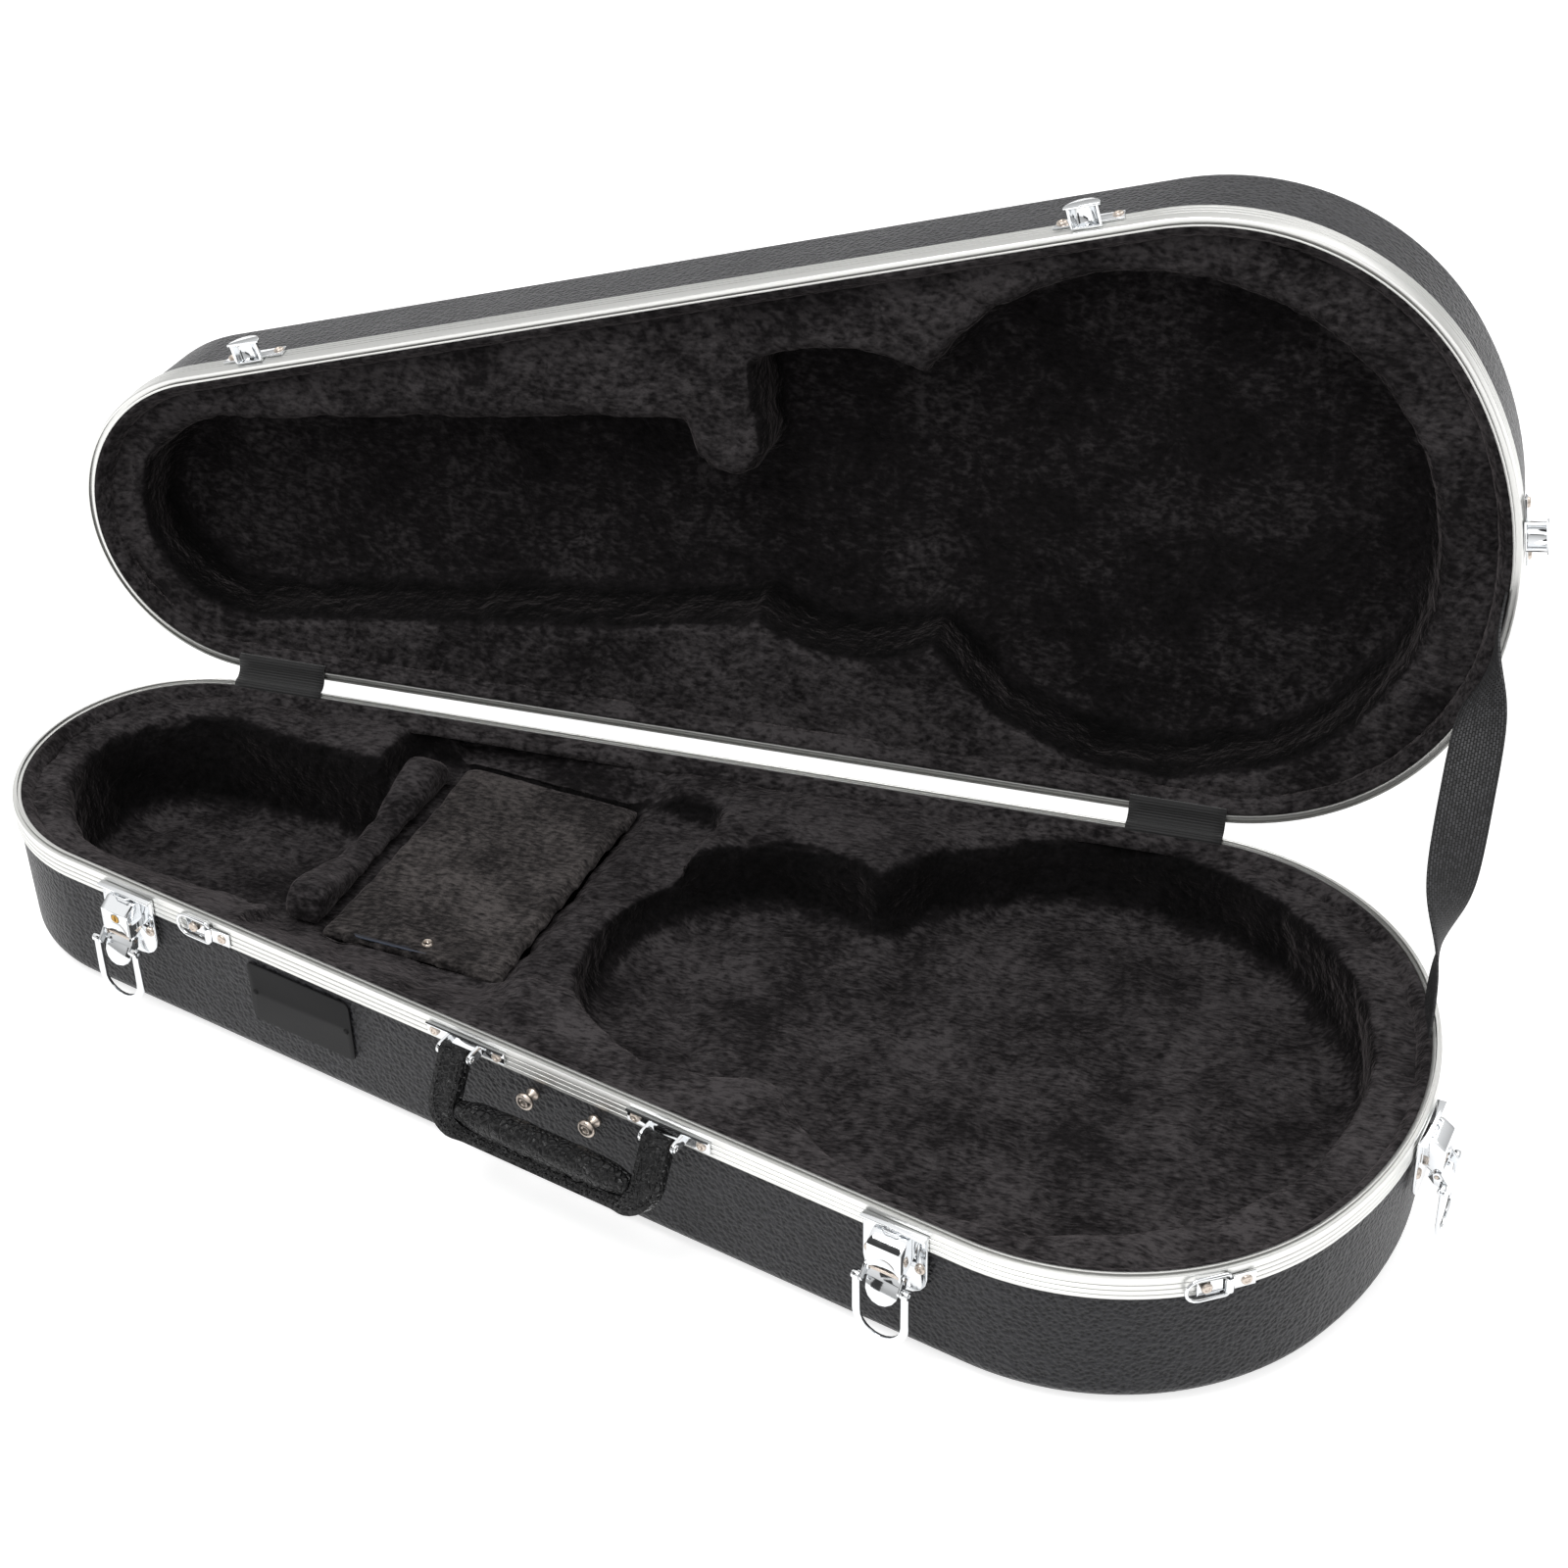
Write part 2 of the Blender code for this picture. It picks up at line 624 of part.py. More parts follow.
def make_strap(turn):
    """Webbing stay from inside the lid's rim to inside the base's, with some slack."""
    foot = rim_spot(STRAP_FOOT, STRAP_IN, -3.0)
    top = turn @ rim_spot(STRAP_TOP, STRAP_IN, LID_GAP + 5.0)
    leave = turn.to_3x3() @ Vector((0, 0, -STRAP_EASE))
    arrive = Vector((0, 0, -STRAP_EASE))
    side_top = (turn.to_3x3() @ Vector((-math.sin(STRAP_TOP), math.cos(STRAP_TOP), 0.0))) * -1.0
    side_foot = Vector((-math.sin(STRAP_FOOT), math.cos(STRAP_FOOT), 0.0))
    rings = []
    steps = 16
    for i in range(steps + 1):
        s = i / steps
        point = (top * (2 * s ** 3 - 3 * s ** 2 + 1) + leave * (s ** 3 - 2 * s ** 2 + s)
                 + foot * (3 * s ** 2 - 2 * s ** 3) + arrive * (s ** 3 - s ** 2))
        along = (top * (6 * s ** 2 - 6 * s) + leave * (3 * s ** 2 - 4 * s + 1)
                 + foot * (6 * s - 6 * s ** 2) + arrive * (3 * s ** 2 - 2 * s)).normalized()
        side = side_top.lerp(side_foot, s) + Vector((STRAP_TWIST * math.sin(math.pi * s) ** 4, 0, 0))
        side = (side - along * side.dot(along)).normalized()
        normal = along.cross(side).normalized()
        rings.append([point + side * a + normal * b for a, b in
                      ((-STRAP_W / 2, -STRAP_T / 2), (STRAP_W / 2, -STRAP_T / 2),
                       (STRAP_W / 2, STRAP_T / 2), (-STRAP_W / 2, STRAP_T / 2))])
    add_piece("stay_strap", solid(lambda bm: loft(bm, rings)), "webbing", pivot=top)


# Latches

PLATE_W = 34.0
PLATE_TOP = -3.0
PLATE_END = -41.0
PLATE_T = 1.5
PLATE_LIP = 5.0
COVER_HALF = 9.1
COVER_T = 1.2
COVER_OUT = 12.0
COVER_TOP = -3.6
COVER_END = -23.5
CHEEK_END = -21.5
EAR_R = 2.1
LATCH_OUT = 10.0
LATCH_DOWN = -26.0
LATCH_PIN_R = 1.0
ARM_IN = COVER_HALF + GAP
ARM_T = 1.2
TONGUE_LONG = 16.0
TONGUE_HALF = 8.8
TONGUE_T = 1.2
CLOSE_DEG = 140.0
BAIL_CRANK = 6.0
BAIL_LEAD = 2.0
BAIL_W = 4.0
BAIL_T = 1.6
BAIL_IN = ARM_IN + ARM_T + GAP
BAIL_REACH = 34.1
LATCHES_ALONG = (42.3, 503.8)
TIP_ANGLE = 0.0
RIVET_R = 2.6
LATCH_RIVET = 13.4
RIVET_DOWN = -24.0


def proud(distance):
    """y of a distance outwards from the rim's face."""
    return -distance


def side_point(out, up):
    """(y, z) of a point seen from the side."""
    return (proud(out), up)


def sector(centre, radius, start, end, steps):
    """Arc as seen from the side: (y, z), angles from outward up."""
    points = []
    for i in range(steps + 1):
        angle = math.radians(start + (end - start) * i / steps)
        points.append(side_point(centre[0] + radius * math.cos(angle), centre[1] + radius * math.sin(angle)))
    return points


def latch_plate():
    half = PLATE_W / 2
    round_r = 12.0
    outline = [(half, PLATE_TOP), (-half, PLATE_TOP), (-half, -22.0)]
    outline += arc(-half + round_r, PLATE_END + round_r, round_r, math.pi, 1.5 * math.pi, 4)
    outline += arc(half - round_r, PLATE_END + round_r, round_r, -math.pi / 2, 0, 4)
    sheet = solid(lambda bm: prism(bm, outline, proud(GAP + PLATE_T), proud(GAP)))
    lip = solid(lambda bm: brick(
        bm, (-half, proud(PLATE_LIP), PLATE_TOP - PLATE_T), (half, proud(GAP + PLATE_T / 2), PLATE_TOP)))
    return fuse(sheet, lip, *rivet_pair(LATCH_RIVET, RIVET_DOWN, GAP + PLATE_T))


def latch_cover():
    """Folded box: sloped top, front and two cheeks with ears for the pin."""
    back = GAP + PLATE_T + GAP
    skin = COVER_T
    top = COVER_TOP - PLATE_T - GAP - 0.6
    hood = [
        side_point(back, top), side_point(6.0, top), side_point(COVER_OUT, top - 4.5),
        side_point(COVER_OUT, COVER_END), side_point(COVER_OUT - skin, COVER_END),
        side_point(COVER_OUT - skin, top - 4.5 - 0.4), side_point(6.0 - 0.5, top - skin), side_point(back, top - skin),
    ]
    cheek = [
        side_point(back, top), side_point(6.0, top), side_point(COVER_OUT, top - 4.5), side_point(COVER_OUT, COVER_END),
    ]
    cheek += sector((LATCH_OUT, LATCH_DOWN), EAR_R, 30, -200, 9)
    cheek += [side_point(back, CHEEK_END)]
    shapes = [solid(lambda bm: prism(bm, hood, -COVER_HALF, COVER_HALF, "x"))]
    for low in (-COVER_HALF, COVER_HALF - skin):
        shapes.append(solid(lambda bm: prism(bm, cheek, low, low + skin, "x")))
    bore = solid(lambda bm: round_bar(
        bm, (-20, proud(LATCH_OUT), LATCH_DOWN), (20, proud(LATCH_OUT), LATCH_DOWN), LATCH_PIN_R + GAP, 10))
    return carve(fuse(*shapes), bore)


def latch_lever():
    """Tongue on two arms, shaped as when closed against the cover, pivot at the origin."""
    inner = COVER_OUT + 0.4 - LATCH_OUT
    outer = inner + TONGUE_T
    wide = ARM_IN + ARM_T
    outline = [(wide, -2.0), (wide, 3.0), (TONGUE_HALF, 5.0)]
    outline += arc(0, TONGUE_LONG - TONGUE_HALF, TONGUE_HALF, 0, math.pi, 8)
    outline += [(-TONGUE_HALF, 5.0), (-wide, 3.0), (-wide, -2.0)]
    plate = solid(lambda bm: prism(bm, outline, proud(outer), proud(inner)))
    lead = math.radians(90.0 + BAIL_LEAD)
    crank = (BAIL_CRANK * math.cos(lead), BAIL_CRANK * math.sin(lead))
    arm = [side_point(outer, -2.0), side_point(outer, 3.0)]
    arm += sector(crank, 1.9, 20, 190, 6)
    arm += sector((0, 0), 2.3, 180, 290, 4)
    shapes = [plate]
    for low in (-wide, ARM_IN):
        shapes.append(solid(lambda bm: prism(bm, arm, low, low + ARM_T, "x")))
        start = low if low > 0 else low + ARM_T
        end = math.copysign(BAIL_IN + BAIL_W - 0.6, low)
        shapes.append(solid(lambda bm: round_bar(
            bm, (start * 0.999, proud(crank[0]), crank[1]), (end, proud(crank[0]), crank[1]), 0.8, 10)))
    bore = solid(lambda bm: round_bar(bm, (-20, 0, 0), (20, 0, 0), LATCH_PIN_R + GAP, 10))
    return carve(fuse(*shapes), bore)


def crank_spot(turn_deg):
    """(out, up) of the bail's pivot, at a turn of the lever from closed."""
    angle = math.radians(90.0 + BAIL_LEAD - turn_deg)
    return (LATCH_OUT + BAIL_CRANK * math.cos(angle), LATCH_DOWN + BAIL_CRANK * math.sin(angle))


def latch_bail():
    """Flat strip bent to a U, hanging from its pivot at the origin."""
    middle = BAIL_IN + BAIL_W / 2
    path = [(-middle, 0, 0), (-middle, 0, -(BAIL_REACH - middle) / 2)]
    path += [(middle * math.cos(math.pi + a), 0, -(BAIL_REACH - middle) + middle * math.sin(math.pi + a))
             for a in [math.pi * i / 12 for i in range(13)]]
    path += [(middle, 0, -(BAIL_REACH - middle) / 2), (middle, 0, 0)]
    section = [(-BAIL_T / 2, -BAIL_W / 2), (BAIL_T / 2, -BAIL_W / 2), (BAIL_T / 2, BAIL_W / 2), (-BAIL_T / 2, BAIL_W / 2)]
    strip = solid(lambda bm: swept(bm, path, section, (0, 1, 0)))
    shapes = [strip]
    for low in (-middle - BAIL_W / 2, BAIL_IN):
        shapes.append(solid(lambda bm: round_bar(bm, (low, 0, 0), (low + BAIL_W, 0, 0), 2.2, 12)))
    bore = solid(lambda bm: round_bar(bm, (-20, 0, 0), (20, 0, 0), 1.0, 10))
    return carve(fuse(*shapes), bore)


def rivet(x, z, base, radius=RIVET_R):
    """Domed head standing on a plate whose face is at the base distance."""
    profile = [(radius, base - 0.4), (radius, base + 0.5), (radius * 0.62, base + 1.2)]
    return solid(lambda bm: turned(bm, (x, z), profile, 10))


def rivet_pair(reach, z, base, radius=RIVET_R, middle=0.0):
    return [rivet(middle + side * reach, z, base, radius) for side in (-1, 1)]


def latch_frames():
    frames = [front_frame(distance) for distance in LATCHES_ALONG]
    return frames + [arc_frame(END_U, 0.0, END_R, TIP_ANGLE)]


def make_latch(i, frame):
    add_piece(f"latch_plate_{i}", latch_plate(), "chrome", frame)
    cover = latch_cover()
    if i == 1:
        hole = solid(lambda bm: round_bar(bm, (0, -20, -14.5), (0, -COVER_OUT / 2, -14.5), LOCK_R + GAP, 16))
        cover = carve(cover, hole)
    add_piece(f"latch_cover_{i}", cover, "chrome", frame)
    reach = ARM_IN + ARM_T + 0.1
    pivot = Vector((0, proud(LATCH_OUT), LATCH_DOWN))
    pin = solid(lambda bm: round_bar(bm, pivot - Vector((reach, 0, 0)), pivot + Vector((reach, 0, 0)), LATCH_PIN_R, 10))
    add_piece(f"latch_pin_{i}", pin, "steel", frame)
    at_pivot = frame @ Matrix.Translation(pivot)
    # Outwards is -y, so a turn about +x opens the lever downwards and out.
    opened = Matrix.Rotation(math.radians(CLOSE_DEG), 4, "X")
    add_piece(f"latch_lever_{i}", latch_lever(), "chrome", at_pivot @ opened, at_pivot.translation)
    out, up = crank_spot(CLOSE_DEG)
    at_crank = frame @ Matrix.Translation((0, proud(out), up))
    add_piece(f"latch_bail_{i}", latch_bail(), "chrome", at_crank, at_crank.translation)


LOCK_R = 2.4


def make_lock(frame):
    """Key barrel in the first latch's cover, its face cut by a key slot."""
    front = COVER_OUT + 0.1
    body = solid(lambda bm: round_bar(bm, (0, proud(8.0), -14.5), (0, proud(front), -14.5), LOCK_R, 16))
    slot = solid(lambda bm: brick(bm, (-0.35, proud(front + 1), -16.1), (0.35, proud(front - 0.8), -12.9)))
    pivot = frame @ Vector((0, proud(front), -14.5))
    add_piece("lock_barrel", carve(body, slot), "brass", frame, pivot)


CATCH_HALF = 18.0
CATCH_LOW = 8.2
CATCH_HIGH = 17.6
CATCH_T = 1.2
HOOD_LOW = 3.6
HOOD_R = 8.0
HOOD_OUT = 11.0
LIP_R = 9.3
LIP_OUT = 12.2
CATCH_RIVET = 14.0


def half_disc(radius, low, steps=8):
    """D outline standing on its flat side."""
    return arc(0, low, radius, 0, math.pi, steps)


def lid_catch():
    """Riveted plate with a D-shaped hood whose lip holds the bail; z from the closed rim."""
    plate = [(-CATCH_HALF, CATCH_LOW), (CATCH_HALF, CATCH_LOW), (CATCH_HALF - 1.5, CATCH_HIGH), (-CATCH_HALF + 1.5, CATCH_HIGH)]
    sheet = solid(lambda bm: prism(bm, plate, proud(GAP + CATCH_T), proud(GAP)))
    hood = solid(lambda bm: prism(bm, half_disc(HOOD_R, HOOD_LOW), proud(HOOD_OUT + 0.2), proud(GAP)))
    lip = solid(lambda bm: prism(bm, half_disc(LIP_R, HOOD_LOW), proud(LIP_OUT), proud(HOOD_OUT)))
    hollow = solid(lambda bm: prism(
        bm, half_disc(HOOD_R - 1.2, HOOD_LOW - 1.0), proud(HOOD_OUT - 0.2), proud(GAP + CATCH_T)))
    rivets = rivet_pair(CATCH_RIVET, 13.2, GAP + CATCH_T)
    return carve(fuse(sheet, hood, lip, *rivets), hollow)


def make_catches(turn):
    pivot = hinge_axis_point()
    for i, frame in enumerate(latch_frames(), 1):
        add_piece(f"lid_catch_{i}", lid_catch(), "chrome", turn @ frame, pivot)


# Handle

HANDLE_ALONG = 320.4
BRACKET_X = 59.4
BRACKET_HALF = 23.2
BRACKET_TOP = -3.2
BRACKET_END = -10.2
EAR_HALF = 8.3
EAR_T = 1.4
HANDLE_OUT = 9.5
HANDLE_DOWN = -7.0
HANDLE_PIN_R = 1.2
HANDLE_LEAN = 26.6
LEG_HALF = 7.5
LOOP_T = 3.2
LOOP_END = 40.0
FLANGE_TOP = 34.0
GRIP_HALF = 43.0
GRIP_DROP = 26.6
BRACKET_RIVET = 18.8
BRACKET_MID = -6.8


def handle_bracket(x):
    """Plate with two ears that stand out beside the handle's leg."""
    sheet = solid(lambda bm: brick(
        bm, (x - BRACKET_HALF, proud(GAP + 1.2), BRACKET_END), (x + BRACKET_HALF, proud(GAP), BRACKET_TOP)))
    ear = [side_point(0.8, BRACKET_END + 0.2), side_point(0.8, BRACKET_TOP - 0.3), side_point(8.0, BRACKET_TOP - 0.6)]
    ear += sector((HANDLE_OUT, HANDLE_DOWN), 3.0, 80, -80, 6)
    shapes = [sheet]
    for low in (x - EAR_HALF - EAR_T, x + EAR_HALF):
        shapes.append(solid(lambda bm: prism(bm, ear, low, low + EAR_T, "x")))
    shapes += rivet_pair(BRACKET_RIVET, BRACKET_MID, GAP + 1.2, middle=x)
    bore = handle_bore(HANDLE_PIN_R + GAP, (0, proud(HANDLE_OUT), HANDLE_DOWN))
    return carve(fuse(*shapes), bore)


def handle_bore(radius, centre):
    centre = Vector(centre)
    reach = Vector((BRACKET_X + 30, 0, 0))
    return solid(lambda bm: round_bar(bm, centre - reach, centre + reach, radius, 12))


def handle_loop():
    """Leather U: a leg under each bracket and the stitched flange, pins at the origin."""
    outer = BRACKET_X + LEG_HALF
    inner = BRACKET_X - LEG_HALF
    round_out, round_in = 18.0, 12.0
    outline = [(-outer, 0.0)]
    outline += arc(-outer + round_out, -LOOP_END + round_out, round_out, math.pi, 1.5 * math.pi, 5)
    outline += arc(outer - round_out, -LOOP_END + round_out, round_out, -math.pi / 2, 0, 5)
    outline += [(outer, 0.0), (inner, 0.0)]
    outline += arc(inner - round_in, -FLANGE_TOP + round_in, round_in, 0, -math.pi / 2, 4)
    outline += arc(-inner + round_in, -FLANGE_TOP + round_in, round_in, -math.pi / 2, -math.pi, 4)
    outline += [(-inner, 0.0)]
    shapes = [solid(lambda bm: prism(bm, outline, -LOOP_T / 2, LOOP_T / 2))]
    for x in (-BRACKET_X, BRACKET_X):
        shapes.append(solid(lambda bm: round_bar(bm, (x - LEG_HALF, 0, 0), (x + LEG_HALF, 0, 0), 3.3, 14)))
    return carve(fuse(*shapes), handle_bore(HANDLE_PIN_R + GAP, (0, 0, 0)))


def handle_grip():
    """Crowned pad between the legs, thickest in the middle."""
    rings = []
    steps = 14
    for i in range(steps + 1):
        share = -1.0 + 2.0 * i / steps
        fill = 0.45 + 0.55 * math.sqrt(max(0.0, 1.0 - abs(share) ** 3))
        ring = []
        for k in range(12):
            angle = 2 * math.pi * k / 12
            high = 7.0 if abs(share) < 0.99 else 6.0
            ring.append(Vector((share * GRIP_HALF, 8.2 * fill * math.sin(angle),
                                -GRIP_DROP + high * (0.7 + 0.3 * fill) * math.cos(angle))))
        rings.append(ring)
    return solid(lambda bm: loft(bm, rings))


def make_handle():
    frame = front_frame(HANDLE_ALONG)
    pivot = Vector((0, proud(HANDLE_OUT), HANDLE_DOWN))
    for i, x in enumerate((-BRACKET_X, BRACKET_X), 1):
        add_piece(f"handle_bracket_{i}", handle_bracket(x), "chrome", frame)
        half = EAR_HALF + EAR_T
        start, end = pivot + Vector((x - half, 0, 0)), pivot + Vector((x + half, 0, 0))
        pin = solid(lambda bm: round_bar(bm, start, end, HANDLE_PIN_R, 10))
        add_piece(f"handle_pin_{i}", pin, "steel", frame)
    hung = frame @ Matrix.Translation(pivot) @ Matrix.Rotation(math.radians(-HANDLE_LEAN), 4, "X")
    add_piece("handle_loop", handle_loop(), "leatherette", hung, hung.translation)
    add_piece("handle_grip", handle_grip(), "leatherette", hung, hung.translation, 60)


# Strap rings and their clips

CLIP_HALF = 14.2
CLIP_LOW = -12.0
CLIP_HIGH = -4.0
CLIP_T = 1.0
CLIP_RIVET = 9.5
RING_X = 1.2
RING_OUT = 1.75
RING_R = 1.0
RING_HALF = 6.3
RING_LEFT = -19.5
RING_MID = -8.0
RING_ALONG = 96.6
RING_CORNER = math.radians(-57.1)


def ring_clip():
    hollow = RING_R + 0.35
    outline = [(CLIP_HALF, proud(GAP)), (RING_X + hollow, proud(GAP))]
    outline += [(a, proud(b)) for a, b in arc(RING_X, RING_OUT, hollow, 0, math.pi, 6)]
    outline += [(RING_X - hollow, proud(GAP)), (-CLIP_HALF, proud(GAP)), (-CLIP_HALF, proud(GAP + CLIP_T))]
    outline += [(a, proud(b)) for a, b in arc(RING_X, RING_OUT, hollow + CLIP_T, math.pi, 0, 8)]
    outline += [(CLIP_HALF, proud(GAP + CLIP_T))]
    strip = solid(lambda bm: prism(bm, outline, CLIP_LOW, CLIP_HIGH, "z"))
    return fuse(strip, *rivet_pair(CLIP_RIVET, RING_MID, GAP + CLIP_T))


def strap_ring():
    """D of round wire lying flat on the rim, its straight bar under the clip."""
    bend = 2.0
    y = proud(RING_OUT)
    path = []
    quarter = math.pi / 2
    path += arc(RING_X - bend, RING_MID + RING_HALF - bend, bend, 0, quarter, 3)
    path += arc(RING_LEFT + RING_HALF, RING_MID, RING_HALF, quarter, 3 * quarter, 8)
    path += arc(RING_X - bend, RING_MID - RING_HALF + bend, bend, -quarter, 0, 3)
    points = [(x, y, z) for x, z in path]
    return solid(lambda bm: swept(bm, points, circle_section(RING_R, 8), (0, 1, 0), closed=True))


def ring_frames():
    corner = arc_frame(CORNER_U, -CORNER_V, CORNER_R, RING_CORNER + TAPER)
    return [front_frame(RING_ALONG), corner]


def make_rings():
    for i, frame in enumerate(ring_frames(), 1):
        add_piece(f"ring_clip_{i}", ring_clip(), "chrome", frame)
        pivot = frame @ Vector((RING_X, proud(RING_OUT), RING_MID))
        add_piece(f"strap_ring_{i}", strap_ring(), "chrome", frame, pivot)


# Front plate and studs

PLATE_ALONG = 152.0
FRONT_HALF = 33.0
FRONT_RISE = 18.75
FRONT_MID = -36.75
PLATE_RIVET = 29.5
STUDS = (-21.6, 14.9)
STUD_Z = -23.0


def skin_out(z):
    """Distance outwards of the shell's surface at a height below the rim."""
    return -SHELL_IN + BASE_DRAFT * (z + STRAIGHT)


def front_plate_frame():
    lean = Matrix.Rotation(math.atan(BASE_DRAFT), 4, "X")
    return front_frame(PLATE_ALONG) @ Matrix.Translation((0, proud(skin_out(FRONT_MID)), FRONT_MID)) @ lean


def make_front_plate():
    corner = 3.0
    outline = []
    turn = math.pi / 2
    spots = ((1, 1), (-1, 1), (-1, -1), (1, -1))
    for i, (a, b) in enumerate(spots):
        outline += arc(a * (FRONT_HALF - corner), b * (FRONT_RISE - corner), corner, i * turn, (i + 1) * turn, 3)
    plate = solid(lambda bm: prism(bm, outline, proud(GAP + 1.2), proud(GAP)))
    plate = fuse(plate, *rivet_pair(PLATE_RIVET, 0.0, GAP + 1.2, 1.6))
    add_piece("front_plate", plate, "plate", front_plate_frame())
    seat = skin_out(STUD_Z + 5.2) + GAP
    profile = [(5.2, seat), (5.2, seat + 0.7), (2.2, seat + 1.9), (2.2, 3.4), (4.8, 4.4), (4.8, 6.0), (3.4, 7.6), (1.2, 8.0)]
    for i, x in enumerate(STUDS, 1):
        stud = solid(lambda bm: turned(bm, (x, STUD_Z), profile, 12))
        add_piece(f"shell_stud_{i}", stud, "chrome", front_frame(HANDLE_ALONG))


# Compartment lid and its tab

TAB_SPOTS = ((138.5, -45.0), (147.5, -37.0), (191.0, -46.0), (190.0, -61.0), (142.0, -63.0))
TAB_T = 1.2
TAB_RIVET = (181.0, -54.5)


def rounded_polygon(spots, radius, steps=3):
    """Polygon with its corners rounded, from arcs tangent to both sides."""
    points = []
    count = len(spots)
    for i, spot in enumerate(spots):
        here = Vector(spot)
        before = (Vector(spots[i - 1]) - here).normalized()
        after = (Vector(spots[(i + 1) % count]) - here).normalized()
        for k in range(steps + 1):
            share = k / steps
            weight_a = (1 - share) ** 2
            weight_b = share ** 2
            point = here + before * radius * weight_a + after * radius * weight_b
            points.append((point.x, point.y))
    return points


def make_compartment():
    crease = plan_point((FLAP_U0 + FLAP_U1) / 2, FLAP_V1, FLAP_TOP)
    levels = [(0.0, FLAP_TOP - FLAP_T), (0.0, FLAP_TOP - 1.2), (-1.2, FLAP_TOP)]
    board = plan_solid(lambda grow: box_outline(FLAP_U0, FLAP_U1, FLAP_V0, FLAP_V1, grow, 2.0, 2), levels)
    add_piece("compartment_lid", board, SOFT, pivot=crease)
    tab_low = FLAP_TOP + GAP
    tab = plan_solid(lambda grow: rounded_polygon(TAB_SPOTS, 3.0), [(0, tab_low), (0, tab_low + TAB_T)])
    add_piece("pull_tab", tab, "leatherette", pivot=crease)
    base = tab_low + TAB_T + 0.1
    rings = []
    for radius, z in ((3.2, base), (3.2, base + 0.5), (2.0, base + 1.3)):
        rings.append([plan_point(TAB_RIVET[0] + a, TAB_RIVET[1] + b, z) for a, b in arc(0, 0, radius, 0, 2 * math.pi, 10)[:-1]])
    add_piece("tab_rivet", solid(lambda bm: loft(bm, rings)), "steel", pivot=crease)


def main():
    clear_scene()
    turn = open_turn()
    make_shells(turn)
    make_base_padding()
    make_cradle()
    make_lid_padding(turn)
    make_hinges(turn)
    make_tapes()
    make_strap(turn)
    for i, frame in enumerate(latch_frames(), 1):
        make_latch(i, frame)
    make_lock(latch_frames()[0])
    make_catches(turn)
    make_handle()
    make_rings()
    make_front_plate()
    make_compartment()


main()
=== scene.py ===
"""Hard case for a mandolin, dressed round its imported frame.

The plan frame runs along the case's axis from the small end, the rim frames stand at the hardware,
and every piece is built where it belongs, in metres, with the lid open on its strap.
"""

import json
import logging
import math
from dataclasses import dataclass, field
from enum import Enum

import bmesh
import bpy
from mathutils import Matrix, Vector, noise

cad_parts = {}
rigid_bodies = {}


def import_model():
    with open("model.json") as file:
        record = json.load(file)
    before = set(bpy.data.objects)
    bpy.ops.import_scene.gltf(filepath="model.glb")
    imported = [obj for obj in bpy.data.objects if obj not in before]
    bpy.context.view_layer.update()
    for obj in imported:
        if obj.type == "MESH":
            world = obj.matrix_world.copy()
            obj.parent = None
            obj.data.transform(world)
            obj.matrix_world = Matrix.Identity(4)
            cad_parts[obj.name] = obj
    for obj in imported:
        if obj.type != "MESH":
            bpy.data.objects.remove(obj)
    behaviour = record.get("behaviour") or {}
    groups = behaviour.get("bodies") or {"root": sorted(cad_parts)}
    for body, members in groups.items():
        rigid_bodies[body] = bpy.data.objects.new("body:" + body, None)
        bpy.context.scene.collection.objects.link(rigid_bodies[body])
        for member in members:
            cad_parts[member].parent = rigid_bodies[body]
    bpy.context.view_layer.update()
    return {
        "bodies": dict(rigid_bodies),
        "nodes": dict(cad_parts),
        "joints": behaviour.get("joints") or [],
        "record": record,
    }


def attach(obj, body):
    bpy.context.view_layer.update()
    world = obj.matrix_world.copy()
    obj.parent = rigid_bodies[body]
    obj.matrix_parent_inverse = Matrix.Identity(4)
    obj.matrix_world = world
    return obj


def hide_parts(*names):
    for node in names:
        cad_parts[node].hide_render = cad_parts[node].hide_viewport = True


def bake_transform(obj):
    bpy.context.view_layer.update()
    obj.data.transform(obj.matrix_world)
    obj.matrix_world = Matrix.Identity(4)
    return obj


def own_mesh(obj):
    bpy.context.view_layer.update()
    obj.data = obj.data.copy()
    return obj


LOG = logging.getLogger("mandolin_case")
MM = 0.001
FULL_TURN = 2 * math.pi
RIM_GAP = 0.3
WELD = 0.02 * MM

BMesh = bmesh.types.BMesh
Object = bpy.types.Object
Socket = bpy.types.NodeSocket
Point = tuple[float, float]
Spot = tuple[float, float, float]


# Materials

def linear(code: str) -> tuple[float, float, float, float]:
    """Turns a colour as it is seen on a screen into the shader's linear values.

    Args:
        code: sRGB hex value such as "#1f2022".

    Returns:
        Red, green, blue and alpha.
    """
    parts = [int(code[i:i + 2], 16) / 255.0 for i in (1, 3, 5)]
    red, green, blue = [c / 12.92 if c <= 0.04045 else ((c + 0.055) / 1.055) ** 2.4 for c in parts]
    return red, green, blue, 1.0


def add_node(tree: bpy.types.NodeTree, kind: str, settings: dict | None = None,
             links: dict | None = None) -> bpy.types.Node:
    """Adds one node to a material.

    Args:
        tree: The material's node tree.
        kind: Blender's name for the node.
        settings: Properties and unlinked input values, by name or input number.
        links: Input name or number to the socket that feeds it.

    Returns:
        The new node.
    """
    node = tree.nodes.new(kind)
    for key, value in (settings or {}).items():
        if isinstance(key, str) and hasattr(node, key):
            setattr(node, key, value)
        else:
            node.inputs[key].default_value = value
    for key, socket in (links or {}).items():
        tree.links.new(socket, node.inputs[key])
    return node


